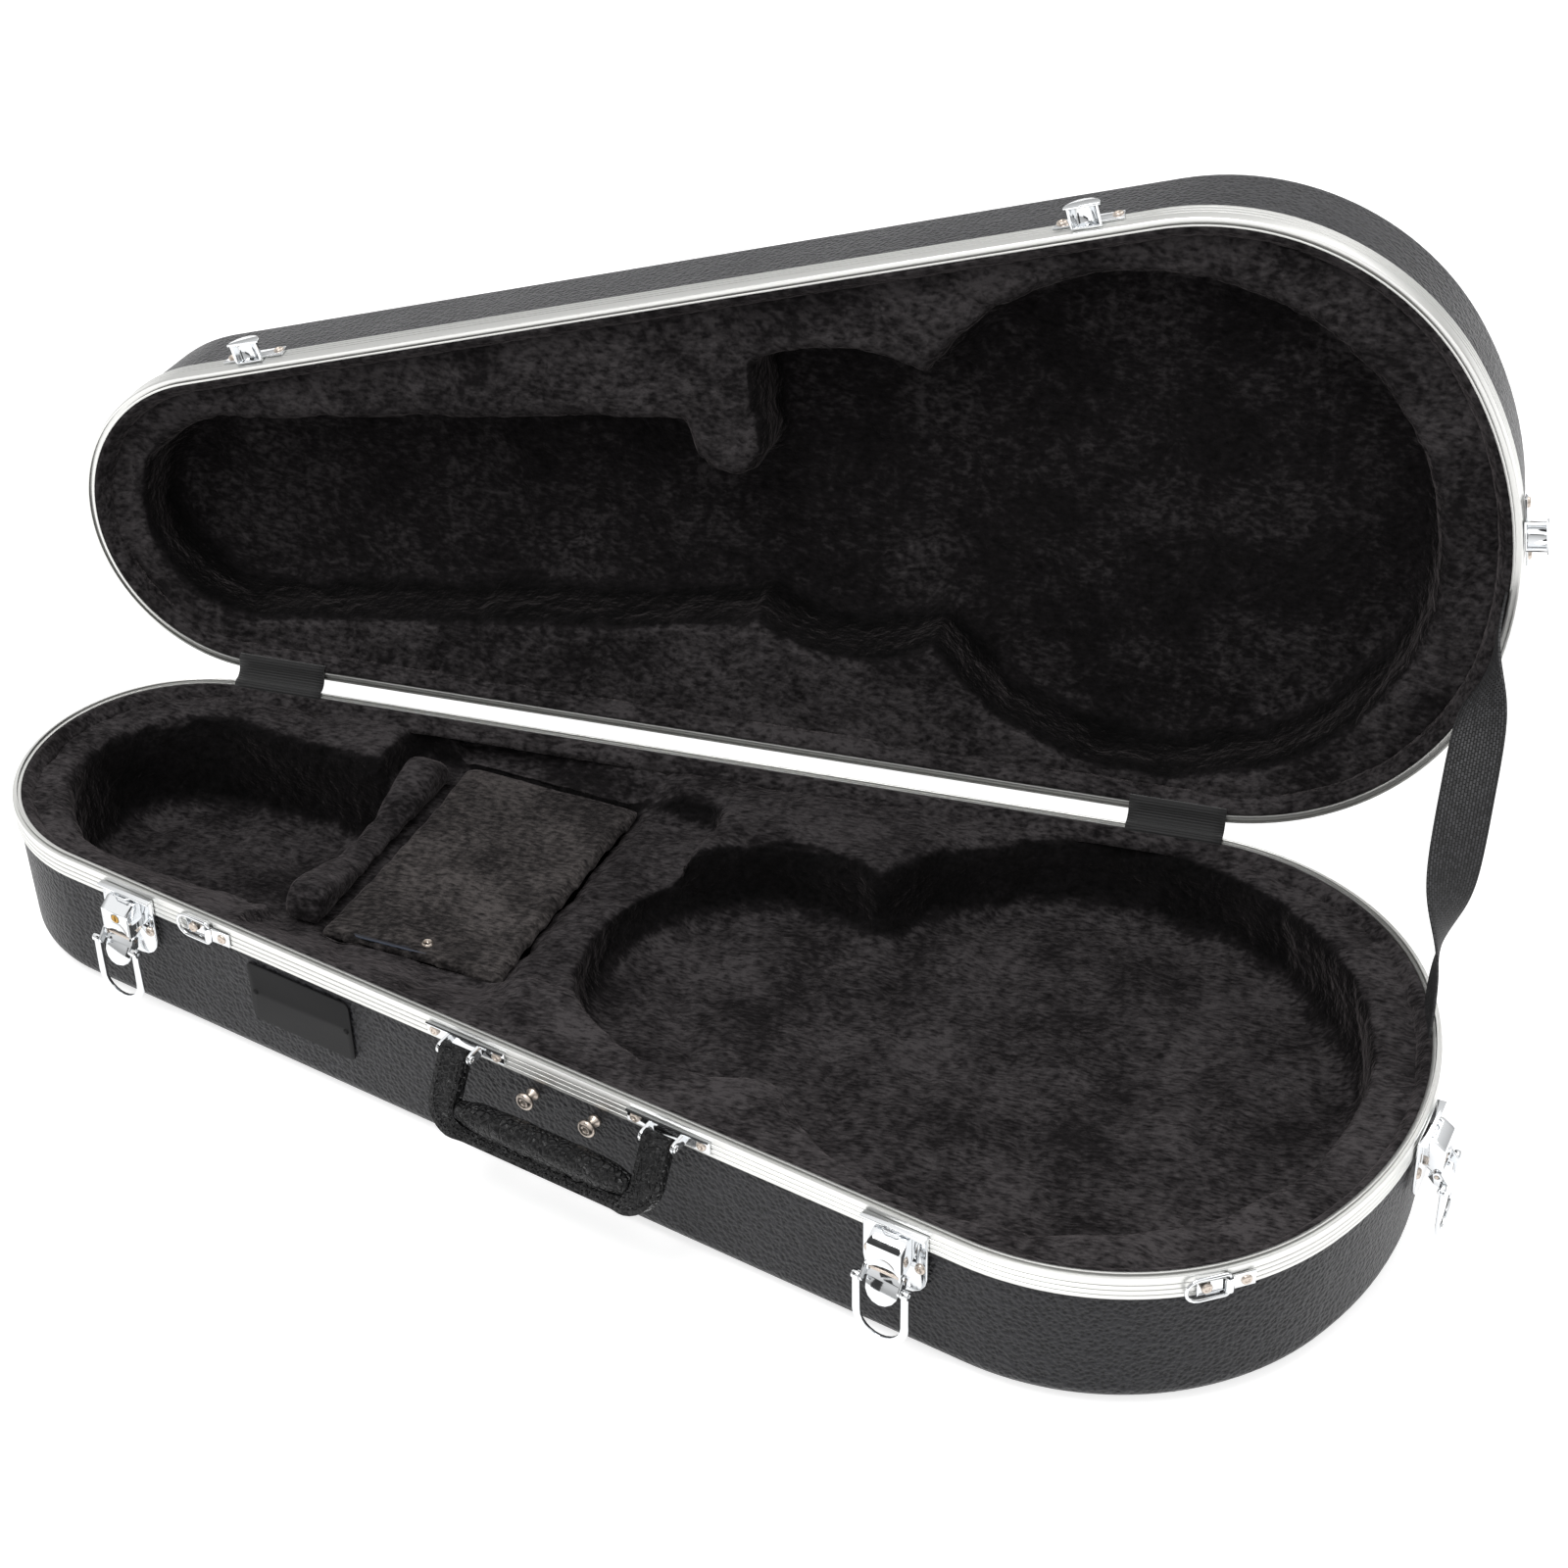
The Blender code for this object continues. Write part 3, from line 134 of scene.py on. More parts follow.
@dataclass(frozen=True)
class Pattern:
    """A material's nodes, on which a finish draws its pattern."""

    tree: bpy.types.NodeTree
    shader: bpy.types.Node
    place: Socket

    def level(self, **levels: object) -> None:
        """Sets inputs of the shader; an underscore in a name stands for a space."""
        for name, value in levels.items():
            self.shader.inputs[name.replace("_", " ")].default_value = value

    def feed(self, name: str, socket: Socket) -> None:
        """Links a socket to an input of the shader."""
        self.tree.links.new(socket, self.shader.inputs[name])

    def noise(self, size_mm: float, detail: float, place: Socket | None = None) -> Socket:
        """Noise whose blotches are about size_mm across, at the object's own coordinates or at others in metres."""
        where = self.place if place is None else place
        settings = {"Scale": 1000.0 / size_mm, "Detail": detail}
        return add_node(self.tree, "ShaderNodeTexNoise", settings, {"Vector": where}).outputs["Fac"]

    def drifting(self, scale: float, reach: float) -> Socket:
        """The object's coordinates, drawn aside by noise of a scale, by a reach in metres."""
        drift = add_node(self.tree, "ShaderNodeTexNoise", {"Scale": scale, "Detail": 2.0}, {"Vector": self.place})
        settings = {"operation": "MULTIPLY_ADD", 1: (reach, reach, reach)}
        links = {0: drift.outputs["Color"], 2: self.place}
        return add_node(self.tree, "ShaderNodeVectorMath", settings, links).outputs["Vector"]

    def spread(self, value: Socket, to: Point, source: Point = (0.0, 1.0)) -> Socket:
        """Maps a value from one range to another."""
        settings = {"From Min": source[0], "From Max": source[1], "To Min": to[0], "To Max": to[1]}
        return add_node(self.tree, "ShaderNodeMapRange", settings, {"Value": value}).outputs["Result"]

    def maths(self, operation: str, first: Socket, second: Socket) -> Socket:
        """Joins two values by one of Blender's maths operations."""
        return add_node(self.tree, "ShaderNodeMath", {"operation": operation}, {0: first, 1: second}).outputs[0]

    def paint(self, value: Socket, *stops: tuple[float, str]) -> None:
        """Colours the surface by a value, from stops of a position and a hex colour."""
        node = add_node(self.tree, "ShaderNodeValToRGB", links={"Fac": value})
        elements = node.color_ramp.elements
        while len(elements) < len(stops):
            elements.new(1.0)
        for element, (position, code) in zip(elements, stops):
            element.position, element.color = position, linear(code)
        self.feed("Base Color", node.outputs["Color"])

    def bump(self, height: Socket, depth_mm: float, strength: float, under: Socket | None = None) -> Socket:
        """Raises a pattern on the surface.

        Args:
            height: Value from 0 to 1.
            depth_mm: Height of the pattern.
            strength: Share of the effect.
            under: Normal of a coarser pattern below this one.

        Returns:
            The normal.
        """
        links = {"Height": height} if under is None else {"Height": height, "Normal": under}
        settings = {"Distance": depth_mm * MM, "Strength": strength}
        normal = add_node(self.tree, "ShaderNodeBump", settings, links).outputs["Normal"]
        self.feed("Normal", normal)
        return normal


@dataclass(frozen=True)
class Finish:
    """A surface finish; each kind draws its own pattern."""

    name: str
    slot: str
    colour: str
    roughness: float = 0.5
    metallic: float = 0.0

    def material(self) -> bpy.types.Material:
        """Returns the finished material, made once."""
        made = bpy.data.materials.get(self.name)
        if made is None:
            made = bpy.data.materials.new(self.name)
            made.use_nodes = True
            tree = made.node_tree
            place = add_node(tree, "ShaderNodeTexCoord").outputs["Object"]
            on = Pattern(tree, tree.nodes["Principled BSDF"], place)
            on.level(Base_Color=linear(self.colour), Roughness=self.roughness, Metallic=self.metallic)
            self.pattern(on)
        return made

    def pattern(self, on: Pattern) -> None:
        """Adds the finish's own pattern to the shader."""

    def gloss(self, on: Pattern, value: Socket, less: float, more: float) -> None:
        """Lets a value turn the roughness a little less or more than the finish's own."""
        on.feed("Roughness", on.spread(value, (self.roughness - less, self.roughness + more)))


@dataclass(frozen=True)
class MouldedAbs(Finish):
    """Vacuum-formed ABS with a pebble grain that breaks its gloss into specks."""

    grain_mm: float = 2.4

    def pattern(self, on: Pattern) -> None:
        """Cells of the grain, drawn about twice as coarse as the real ones so that they show, and a faint mottling."""
        on.level(Specular_IOR_Level=0.2)
        settings = {"feature": "SMOOTH_F1", "Scale": 1000.0 / self.grain_mm, "Smoothness": 0.4}
        pebbles = add_node(on.tree, "ShaderNodeTexVoronoi", settings, {"Vector": on.place}).outputs["Distance"]
        mixed = on.maths("ADD", pebbles, on.noise(self.grain_mm * 0.8, 3.0))
        on.paint(mixed, (0.5, "#111113"), (0.85, self.colour), (1.0, "#2e2e31"))
        on.bump(mixed, 0.9, 0.9)
        self.gloss(on, on.noise(45.0, 1.0), 0.05, 0.06)


@dataclass(frozen=True)
class AnodisedAluminium(Finish):
    """Extruded rim, satin anodised: near white, with a fine grit in its gloss."""

    def pattern(self, on: Pattern) -> None:
        """Fine grit in the gloss."""
        self.gloss(on, on.noise(1.2, 3.0), 0.04, 0.05)


@dataclass(frozen=True)
class Plush(Finish):
    """Deep-pile plush over foam: matt black pile with lighter tips, darkened by painted shade on walls and deep in the
    lid.
    """

    tip: str = "#3e3b3c"
    tuft_mm: float = 6.0

    def pattern(self, on: Pattern) -> None:
        """Pile streaks, tufts and patches at random, each drawn coarser than real pile so that it shows, times the
        painted shade stored on the piece.
        """
        on.level(Sheen_Weight=0.34, Sheen_Roughness=0.4, Sheen_Tint=linear("#8f8788"), Specular_IOR_Level=0.1)
        bent = on.drifting(14.0, 0.012)
        combed = add_node(on.tree, "ShaderNodeMapping", {"Scale": (0.35, 1.0, 0.6)}, {"Vector": bent}).outputs["Vector"]
        hairs = on.noise(1.5, 3.0, combed)
        tufts = on.noise(self.tuft_mm, 3.0, bent)
        patches = on.spread(on.noise(42.0, 4.0, bent), (0.44, 0.84), (0.32, 0.68))
        clumps = on.spread(tufts, (0.6, 1.05), (0.3, 0.7))
        # Painted shade: the value stored per point darkens walls and the lid's deep parts.
        shade_share = add_node(on.tree, "ShaderNodeAttribute", {"attribute_name": "painted_shade"}).outputs["Fac"]
        lit = hairs
        for share in (clumps, patches, shade_share):
            lit = on.maths("MULTIPLY", lit, share)
        on.paint(lit, (0.04, "#020202"), (0.17, self.colour), (0.38, self.tip))
        on.bump(hairs, 0.5, 0.9, on.bump(tufts, 3.2, 0.9))


@dataclass(frozen=True)
class Grosgrain(Finish):
    """Ribbed polyester tape: matt black, ribs across it."""

    rib_mm: float = 1.6

    def pattern(self, on: Pattern) -> None:
        """Ribs that run across the tape, along its own map."""
        on.level(Sheen_Weight=0.2)
        along = add_node(on.tree, "ShaderNodeUVMap", {"uv_map": "UVMap"}).outputs["UV"]
        settings = {"bands_direction": "X", "Scale": 0.314 / (self.rib_mm * MM), "Distortion": 0.4, "Detail": 1.0}
        ribs = add_node(on.tree, "ShaderNodeTexWave", settings, {"Vector": along}).outputs["Fac"]
        on.paint(ribs, (0.1, "#060606"), (0.9, self.colour))
        on.bump(ribs, 0.35, 0.8)


@dataclass(frozen=True)
class StrapWebbing(Finish):
    """Polypropylene strap in a plain weave: rows of small bright humps on black."""

    thread_mm: float = 1.9

    def pattern(self, on: Pattern) -> None:
        """Rows of humps, set half a step apart from row to row."""
        along = add_node(on.tree, "ShaderNodeUVMap", {"uv_map": "UVMap"}).outputs["UV"]
        thread = self.thread_mm * MM
        settings = {"Scale": 1.0, "Mortar Size": 0.00035, "Mortar Smooth": 1.0, "Mortar": linear("#040404"),
                    "Brick Width": thread * 1.25, "Row Height": thread * 0.8,
                    "Color1": linear(self.colour), "Color2": linear("#3c3c3e")}
        weave = add_node(on.tree, "ShaderNodeTexBrick", settings, {"Vector": along})
        on.feed("Base Color", weave.outputs["Color"])
        on.bump(on.spread(weave.outputs["Fac"], (1.0, 0.0)), 0.5, 0.9)


@dataclass(frozen=True)
class Leatherette(Finish):
    """PVC-coated handle cover: satin black with shallow creased cells."""

    grain_mm: float = 3.2

    def pattern(self, on: Pattern) -> None:
        """Leather cells with creases between them, drawn a half coarser than the real ones so that they show."""
        on.level(Specular_IOR_Level=0.3)
        settings = {"feature": "DISTANCE_TO_EDGE", "Scale": 1000.0 / self.grain_mm}
        links = {"Vector": on.drifting(260.0, 0.0009)}
        cells = add_node(on.tree, "ShaderNodeTexVoronoi", settings, links).outputs["Distance"]
        broad = on.bump(on.noise(9.0, 2.0), 3.0, 0.7)
        coarse = on.bump(on.spread(cells, (0.0, 1.0), (0.0, 0.22)), 0.9, 0.9, broad)
        on.bump(on.noise(0.8, 2.0), 0.3, 0.6, coarse)


@dataclass(frozen=True)
class ChromePlate(Finish):
    """Bright chrome over pressed steel: a mirror with the pressing's slight waviness."""

    wave_mm: float = 9.0

    def pattern(self, on: Pattern) -> None:
        """Slow waves that bend the reflections, and faint haze."""
        on.bump(on.noise(self.wave_mm, 1.0), 0.12, 0.5)
        self.gloss(on, on.noise(3.0, 2.0), self.roughness * 0.4, self.roughness * 0.5)


@dataclass(frozen=True)
class TurnedMetal(Finish):
    """Rivet steel or brass, struck or turned: satin, with a faint mottling."""

    def pattern(self, on: Pattern) -> None:
        """Small marks in the gloss."""
        marks = on.noise(1.0, 3.0)
        self.gloss(on, marks, 0.08, 0.1)
        on.bump(marks, 0.04, 0.5)


@dataclass(frozen=True)
class SmoothHide(Finish):
    """Smooth-faced split leather, dyed navy black: a low shine and fine pores."""

    def pattern(self, on: Pattern) -> None:
        """Pores and a soft mottling of the dye."""
        on.bump(on.noise(0.9, 3.0), 0.06, 0.5)
        on.paint(on.noise(12.0, 2.0), (0.3, "#10111a"), (0.7, self.colour))


@dataclass(frozen=True)
class MouldedPlate(Finish):
    """Moulded plastic badge plate left bare: matt dark grey with a fine sparkle."""

    def pattern(self, on: Pattern) -> None:
        """Spark-eroded texture."""
        on.level(Specular_IOR_Level=0.22)
        on.bump(on.noise(1.1, 3.0), 0.2, 0.7)


class Surface(Enum):
    """The case's finishes, each with the record's material slot."""

    SHELL = MouldedAbs("moulded_abs", "abs_shell", "#1c1c1e", 0.36)
    RIM = AnodisedAluminium("anodised_aluminium", "rim_aluminium", "#e4e4e1", 0.34, 1.0)
    # Painted shade: a darker grey rim finish for the grooves and the tongue's or slot's sides, where shade falls.
    RIM_GROOVE_SHADE = AnodisedAluminium("rim_groove_shade", "rim_aluminium", "#8e8e8c", 0.4, 1.0)
    PLUSH = Plush("black_plush", "plush_lining", "#171516", 0.95)
    FLAP_PLUSH = Plush("flap_plush", "plush_lining", "#201e1e", 0.95, tip="#4b4746", tuft_mm=4.0)
    TAPE = Grosgrain("grosgrain_tape", "webbing", "#1d1d1e", 0.7)
    STRAP = StrapWebbing("strap_webbing", "webbing", "#232324", 0.62)
    HANDLE = Leatherette("creased_leatherette", "handle_leatherette", "#101011", 0.27)
    THREAD = Finish("black_thread", "handle_leatherette", "#09090a", 0.6)
    CHROME = ChromePlate("chrome_plate", "hardware_chrome", "#e8eaec", 0.07, 1.0)
    RIVET = TurnedMetal("rivet_steel", "pin_steel", "#cfc3b8", 0.3, 1.0)
    BRASS = TurnedMetal("key_brass", "pin_steel", "#b58d45", 0.3, 1.0)
    TAB = SmoothHide("smooth_hide", "tab_leather", "#1b1d29", 0.36)
    TAB_EDGE = Finish("cut_hide", "tab_leather", "#5a6272", 0.6)
    PLATE = MouldedPlate("moulded_plate", "front_plate", "#151516", 0.6)


def wear(obj: Object, surface: Surface) -> None:
    """Gives a piece its finish.

    Args:
        obj: The piece.
        surface: Which finish.
    """
    made = surface.value.material()
    if not obj.material_slots:
        obj.data.materials.append(made)
    for held in obj.material_slots:
        held.material = made


# Places on the case

@dataclass(frozen=True)
class Outline:
    """The case's egg-shaped plan, in millimetres, and the way round it."""

    small_r: float = 90.1
    corner_r: float = 140.9
    corner_u: float = 538.3
    corner_v: float = 26.3
    end_r: float = 203.8
    depth: float = 84.0
    step_deg: float = 8.0

    @property
    def end_u(self) -> float:
        """Centre of the big end's arc along the axis."""
        return self.corner_u - math.sqrt((self.end_r - self.corner_r) ** 2 - self.corner_v ** 2)

    @property
    def taper(self) -> float:
        """Angle between the axis and a straight side."""
        lean = math.asin((self.corner_r - self.small_r) / math.hypot(self.corner_u, self.corner_v))
        return math.atan2(self.corner_v, self.corner_u) + lean

    @property
    def join(self) -> float:
        """Angle from the axis at which the end's arc meets a corner's arc."""
        return math.atan2(self.corner_v, self.corner_u - self.end_u)

    @property
    def middle(self) -> Vector:
        """Centre of the plan's bounding box, from the small end's centre and the back line."""
        across = self.corner_u * math.sin(self.taper) + self.corner_v * math.cos(self.taper)
        return Vector(((self.end_u * math.cos(self.taper) + self.end_r - self.small_r) / 2,
                       (across + self.small_r + self.corner_r) / 2, 0.0))

    def spot(self, u: float, v: float, z: float = 0.0) -> Vector:
        """World point, in metres, of a point along the axis, across it and over the base's rim."""
        x = u * math.cos(self.taper) + v * math.sin(self.taper) - self.middle.x
        y = -u * math.sin(self.taper) + v * math.cos(self.taper) - self.small_r + self.middle.y
        return Vector((x, y, z + self.depth)) * MM

    def back(self, point: Vector) -> Spot:
        """Plan point (u, v, z from the rim), in millimetres, of a world point."""
        x = point.x / MM + self.middle.x
        y = point.y / MM + self.small_r - self.middle.y
        c, s = math.cos(self.taper), math.sin(self.taper)
        return x * c - y * s, x * s + y * c, point.z / MM - self.depth

    def section(self, bm: BMesh, levels: list[Point], closed: bool) -> list:
        """Draws a section where the back line leaves the small end, and ranks its points.

        Args:
            bm: The mesh to draw in.
            levels: The section's points as (inset, height over the rim) in millimetres.
            closed: Whether its last point joins the first.

        Returns:
            Its vertices and edges.
        """
        turned = math.pi / 2 + self.taper
        start = self.spot(self.small_r * math.cos(turned), self.small_r * math.sin(turned))
        away = Vector((math.cos(turned - self.taper), math.sin(turned - self.taper), 0.0))
        rank = bm.verts.layers.int.new("rank")
        verts, edges = chain(bm, [start - away * inset * MM + Vector((0, 0, z * MM)) for inset, z in levels])
        for place, vert in enumerate(verts):
            vert[rank] = place
        if closed:
            edges.append(bm.edges.new((verts[-1], verts[0])))
        return verts + edges

    def run_round(self, bm: BMesh, geom: list, fine: int = 3) -> None:
        """Runs a section once round the outline, by turns about the arcs' centres and straight pulls.

        Args:
            bm: The mesh that holds the section.
            geom: The section's vertices and edges.
            fine: Steps for each step_deg of turn.
        """
        quarter = math.pi / 2
        u, v, r = self.corner_u, self.corner_v, self.corner_r
        legs = [
            ((0.0, 0.0), math.pi - 2 * self.taper),
            ((u, -v), quarter + self.taper - self.join),
            ((self.end_u, 0.0), 2 * self.join),
            ((u, v), quarter + self.taper - self.join),
        ]
        length = math.sqrt(u ** 2 + v ** 2 - (r - self.small_r) ** 2)
        front = Vector((math.cos(2 * self.taper), -math.sin(2 * self.taper), 0.0)) * length * MM
        pulls = {0: front, 3: Vector((-length * MM, 0.0, 0.0))}
        for i, (centre, angle) in enumerate(legs):
            steps = max(4, round(math.degrees(angle) / self.step_deg * fine))
            turned = bmesh.ops.spin(bm, geom=geom, cent=self.spot(*centre), axis=(0, 0, 1), angle=angle, steps=steps)
            geom = turned["geom_last"]
            if i in pulls:
                pulled = bmesh.ops.extrude_edge_only(bm, edges=only(geom, bmesh.types.BMEdge))["geom"]
                verts = only(pulled, bmesh.types.BMVert)
                bmesh.ops.translate(bm, verts=verts, vec=pulls[i])
                geom = verts + only(pulled, bmesh.types.BMEdge)
        bmesh.ops.remove_doubles(bm, verts=bm.verts, dist=WELD)


PLAN = Outline()


@dataclass(frozen=True)
class LidTurn:
    """The lid's hinge line and how far it stands open."""

    out: float = 4.5
    up: float = 1.0
    open_deg: float = 93.0

    @property
    def matrix(self) -> Matrix:
        """Carries closed lid points to the open lid."""
        pivot = Vector((0.0, self.out + PLAN.middle.y, PLAN.depth + self.up)) * MM
        turn = Matrix.Rotation(math.radians(-self.open_deg), 4, "X")
        return Matrix.Translation(pivot) @ turn @ Matrix.Translation(-pivot)

    def half(self, half: str) -> Matrix | None:
        """Carries points drawn as the base's to the "lid", over the gap between the rims; none for the "base"."""
        if half == "base":
            return None
        flip = Matrix.Translation((0, 0, (2 * PLAN.depth + RIM_GAP) * MM)) @ Matrix.Scale(-1.0, 4, (0, 0, 1))
        return self.matrix @ flip


LID = LidTurn()


def moved(x: float, y: float, z: float) -> Matrix:
    """A shift in millimetres."""
    return Matrix.Translation(Vector((x, y, z)) * MM)


def rim_frame(point: Vector, away: Vector) -> Matrix:
    """Frame at the rim: x along it, y inwards, z up, in metres.

    Args:
        point: World point on the rim line.
        away: Level direction of length 1 away from the case.

    Returns:
        The frame.
    """
    frame = Matrix.Identity(4)
    frame.col[0] = (-away.y, away.x, 0.0, 0.0)
    frame.col[1] = (-away.x, -away.y, 0.0, 0.0)
    frame.col[3] = (*point, 1.0)
    return frame


def front_frame(along: float) -> Matrix:
    """Rim frame on the straight front, a distance in millimetres from its left end."""
    turned = 2 * PLAN.taper
    out = Vector((-math.sin(turned), -math.cos(turned), 0.0))
    start = PLAN.spot(0.0, 0.0) + out * PLAN.small_r * MM
    return rim_frame(start + Vector((math.cos(turned), -math.sin(turned), 0.0)) * along * MM, out)


def arc_frame(u: float, v: float, radius: float, angle: float) -> Matrix:
    """Rim frame on an arc of the outline; the angle is the plan frame's."""
    out = Vector((math.cos(angle - PLAN.taper), math.sin(angle - PLAN.taper), 0.0))
    return rim_frame(PLAN.spot(u, v) + out * radius * MM, out)


# Making pieces

def only(geom: list, kind: type) -> list:
    """The parts of a mesh operator's result that are of one kind."""
    return [part for part in geom if isinstance(part, kind)]


def clamped(share: float) -> float:
    """The share, kept between 0 and 1."""
    return min(1.0, max(0.0, share))


def smooth_step(share: float) -> float:
    """The share, eased in and out."""
    return share * share * (3.0 - 2.0 * share)


def chain(bm: BMesh, spots: list[Vector]) -> tuple[list, list]:
    """Draws a line of edges through points.

    Args:
        bm: The mesh to draw in.
        spots: The points, in metres.

    Returns:
        The vertices and the edges.
    """
    verts, edges = [bm.verts.new(spots[0])], []
    for spot in spots[1:]:
        grown = bmesh.ops.extrude_vert_indiv(bm, verts=[verts[-1]])
        grown["verts"][0].co = spot
        verts += grown["verts"]
        edges += grown["edges"]
    return verts, edges


def lathe(bm: BMesh, frame: Matrix, profile: list[Point], steps: int) -> None:
    """Turns a profile about a frame's y axis.

    Args:
        bm: The mesh that gets it.
        frame: The frame.
        profile: Points as (radius, distance against y) in millimetres.
        steps: Steps of the turn.
    """
    verts, edges = chain(bm, [frame @ (Vector((radius, -out, 0.0)) * MM) for radius, out in profile])
    bmesh.ops.spin(bm, geom=verts + edges, cent=frame.translation, axis=frame.to_3x3() @ Vector((0, 1, 0)),
                   angle=FULL_TURN, steps=steps, use_merge=True)


def piece(name: str, bm: BMesh, frame: Matrix | None, smooth_deg: float, outward: bool = True) -> Object:
    """Turns a bmesh into an object whose place is in its mesh.

    Args:
        name: The piece's name.
        bm: The mesh, in metres.
        frame: Where it goes.
        smooth_deg: Edges sharper than this stay sharp.
        outward: Whether to turn the faces out first.

    Returns:
        The object.
    """
    if frame is not None:
        bmesh.ops.transform(bm, matrix=frame, verts=bm.verts)
    if outward:
        bmesh.ops.recalc_face_normals(bm, faces=bm.faces)
    mesh = bpy.data.meshes.new(name)
    bm.to_mesh(mesh)
    bm.free()
    mesh.shade_smooth()
    mesh.set_sharp_from_angle(angle=math.radians(smooth_deg))
    obj = bpy.data.objects.new(name, mesh)
    bpy.context.collection.objects.link(obj)
    return obj


def fitted(made: Object, surface: Surface, body: str, node: str | None = None) -> Object:
    """Gives a piece its finish and hangs it on its body.

    Args:
        made: The piece.
        surface: Its finish.
        body: The body that it rides.
        node: The CAD node that it stands for.

    Returns:
        The piece.
    """
    wear(made, surface)
    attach(made, body)
    if node is not None:
        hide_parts(node)
    return made


def applied(obj: Object) -> Object:
    """Bakes an object's modifiers into its mesh."""
    made = bpy.data.meshes.new_from_object(obj.evaluated_get(bpy.context.evaluated_depsgraph_get()))
    obj.modifiers.clear()
    obj.data = made
    return obj


def reshaped(obj: Object, spots: list[Vector]) -> None:
    """Moves a piece's vertices to new places."""
    obj.data.vertices.foreach_set("co", [c for spot in spots for c in spot])
    obj.data.update()


def welded(node: str, dist: float = WELD) -> BMesh:
    """Copy of a CAD node's mesh with its doubled vertices joined."""
    bm = bmesh.new()
    bm.from_mesh(bpy.data.objects[node].data)
    bmesh.ops.remove_doubles(bm, verts=bm.verts, dist=dist)
    return bm


# Shells and rim

@dataclass
class Shells:
    """Two moulded shells, each with its extruded rim."""

    rim_width: float = 4.8
    shell_in: float = 1.4
    wall: float = 2.0
    edge_r: float = 12.0
    straight: float = 9.0
    groove: float = 0.35
    grooves_down: Spot = (2.6, 5.6, 8.6)
    lip: float = 8.0
    slot_depth: float = 1.7
    tongue: float = 1.0
    depths: dict[str, float] = field(default_factory=lambda: {"base": 84.0, "lid": 76.0})
    drafts: dict[str, float] = field(default_factory=lambda: {"base": 0.03, "lid": 0.06})
    bands: dict[str, float] = field(default_factory=lambda: {"base": 13.2, "lid": 16.2})
    webs: dict[str, float] = field(default_factory=lambda: {"base": 1.9, "lid": 2.9})

    def skin(self, half: str, offset: float) -> list[Point]:
        """Section of one face of a shell's wall, rim to bottom.

        Args:
            half: "base" or "lid".
            offset: Distance inside the outer face.

        Returns:
            Points as (inset, height over the rim).
        """
        start = self.depths[half] - self.edge_r
        corner = self.shell_in + self.drafts[half] * (start - self.straight)
        reach = self.edge_r - offset
        levels = [(self.shell_in + offset, -self.webs[half] - RIM_GAP), (self.shell_in + offset, -self.straight)]
        for i in range(9):
            angle = math.pi / 2 * i / 8
            levels.append((corner + self.edge_r - reach * math.cos(angle), -start - reach * math.sin(angle)))
        return levels

    def rim_section(self, half: str) -> list[Point]:
        """Section of the rim: outer band with its grooves, top with a tongue or a slot, and inner lip.

        Args:
            half: "base" or "lid".

        Returns:
            Points as (inset, height over the rim).
        """
        band, wide, deep, web = self.bands[half], self.rim_width, self.groove, self.webs[half]
        levels = [(1.1, -band), (deep, -band), (0.0, -band + 0.5)]
        for down in self.grooves_down:
            line = band - down
            levels += [(0.0, -line - 0.45), (deep, -line - 0.25), (deep, -line + 0.25), (0.0, -line + 0.45)]
        levels += [(0.0, -1.0), (0.12, -0.35), (0.5, 0.0)]
        if half == "base":
            high = self.tongue
            levels += [(1.9, 0.0), (1.95, high), (2.15, 1.2), (2.65, 1.2), (2.85, high), (2.9, 0.0)]
        else:
            levels += [(1.4, 0.0), (1.4, -self.slot_depth), (3.4, -self.slot_depth), (3.4, 0.0)]
        levels += [(wide - 0.6, 0.0), (wide - 0.15, -0.2), (wide, -0.7), (wide, -self.lip + 0.4)]
        return levels + [(wide - 0.4, -self.lip), (wide - 1.1, -self.lip), (wide - 1.1, -web), (1.1, -web)]

    def mark_groove_shade(self, rim: BMesh, section: list[Point]) -> None:
        """Gives the rim's second material, a painted shade of darker grey, to its grooves' bottoms and to the sides of
        its tongue or slot.

        Args:
            rim: The rim's mesh.
            section: Its section.
        """
        rank = rim.verts.layers.int["rank"]
        sides = ({0.0, self.tongue}, {0.0, -self.slot_depth})
        deep = {i for i, (a, b) in enumerate(zip(section, section[1:]))
                if a[0] == self.groove == b[0] or {a[1], b[1]} in sides}
        for face in rim.faces:
            places = {vert[rank] for vert in face.verts}
            if len(places) == 2 and min(places) in deep and max(places) == min(places) + 1:
                face.material_index = 1

    def build(self) -> None:
        """Builds and finishes both halves."""
        for half in ("base", "lid"):
            shell, rim = bmesh.new(), bmesh.new()
            outside, inside = self.skin(half, 0.0), self.skin(half, self.wall)
            PLAN.run_round(shell, PLAN.section(shell, outside[::-1] + inside, False))
            bmesh.ops.holes_fill(shell, edges=shell.edges, sides=0)
            section = self.rim_section(half)
            PLAN.run_round(rim, PLAN.section(rim, section, True))
            self.mark_groove_shade(rim, section)
            for bm, name, surface in ((shell, "shell", Surface.SHELL), (rim, "valance", Surface.RIM)):
                made = piece(f"{half}_{name}_skin", bm, LID.half(half), 30.0)
                fitted(made, surface, half, f"{half}_{name}")
                if name == "valance":
                    # The second slot holds the painted groove shade.
                    made.data.materials.append(Surface.RIM_GROOVE_SHADE.value.material())
            LOG.info("%s shell and rim", half)


# Padding

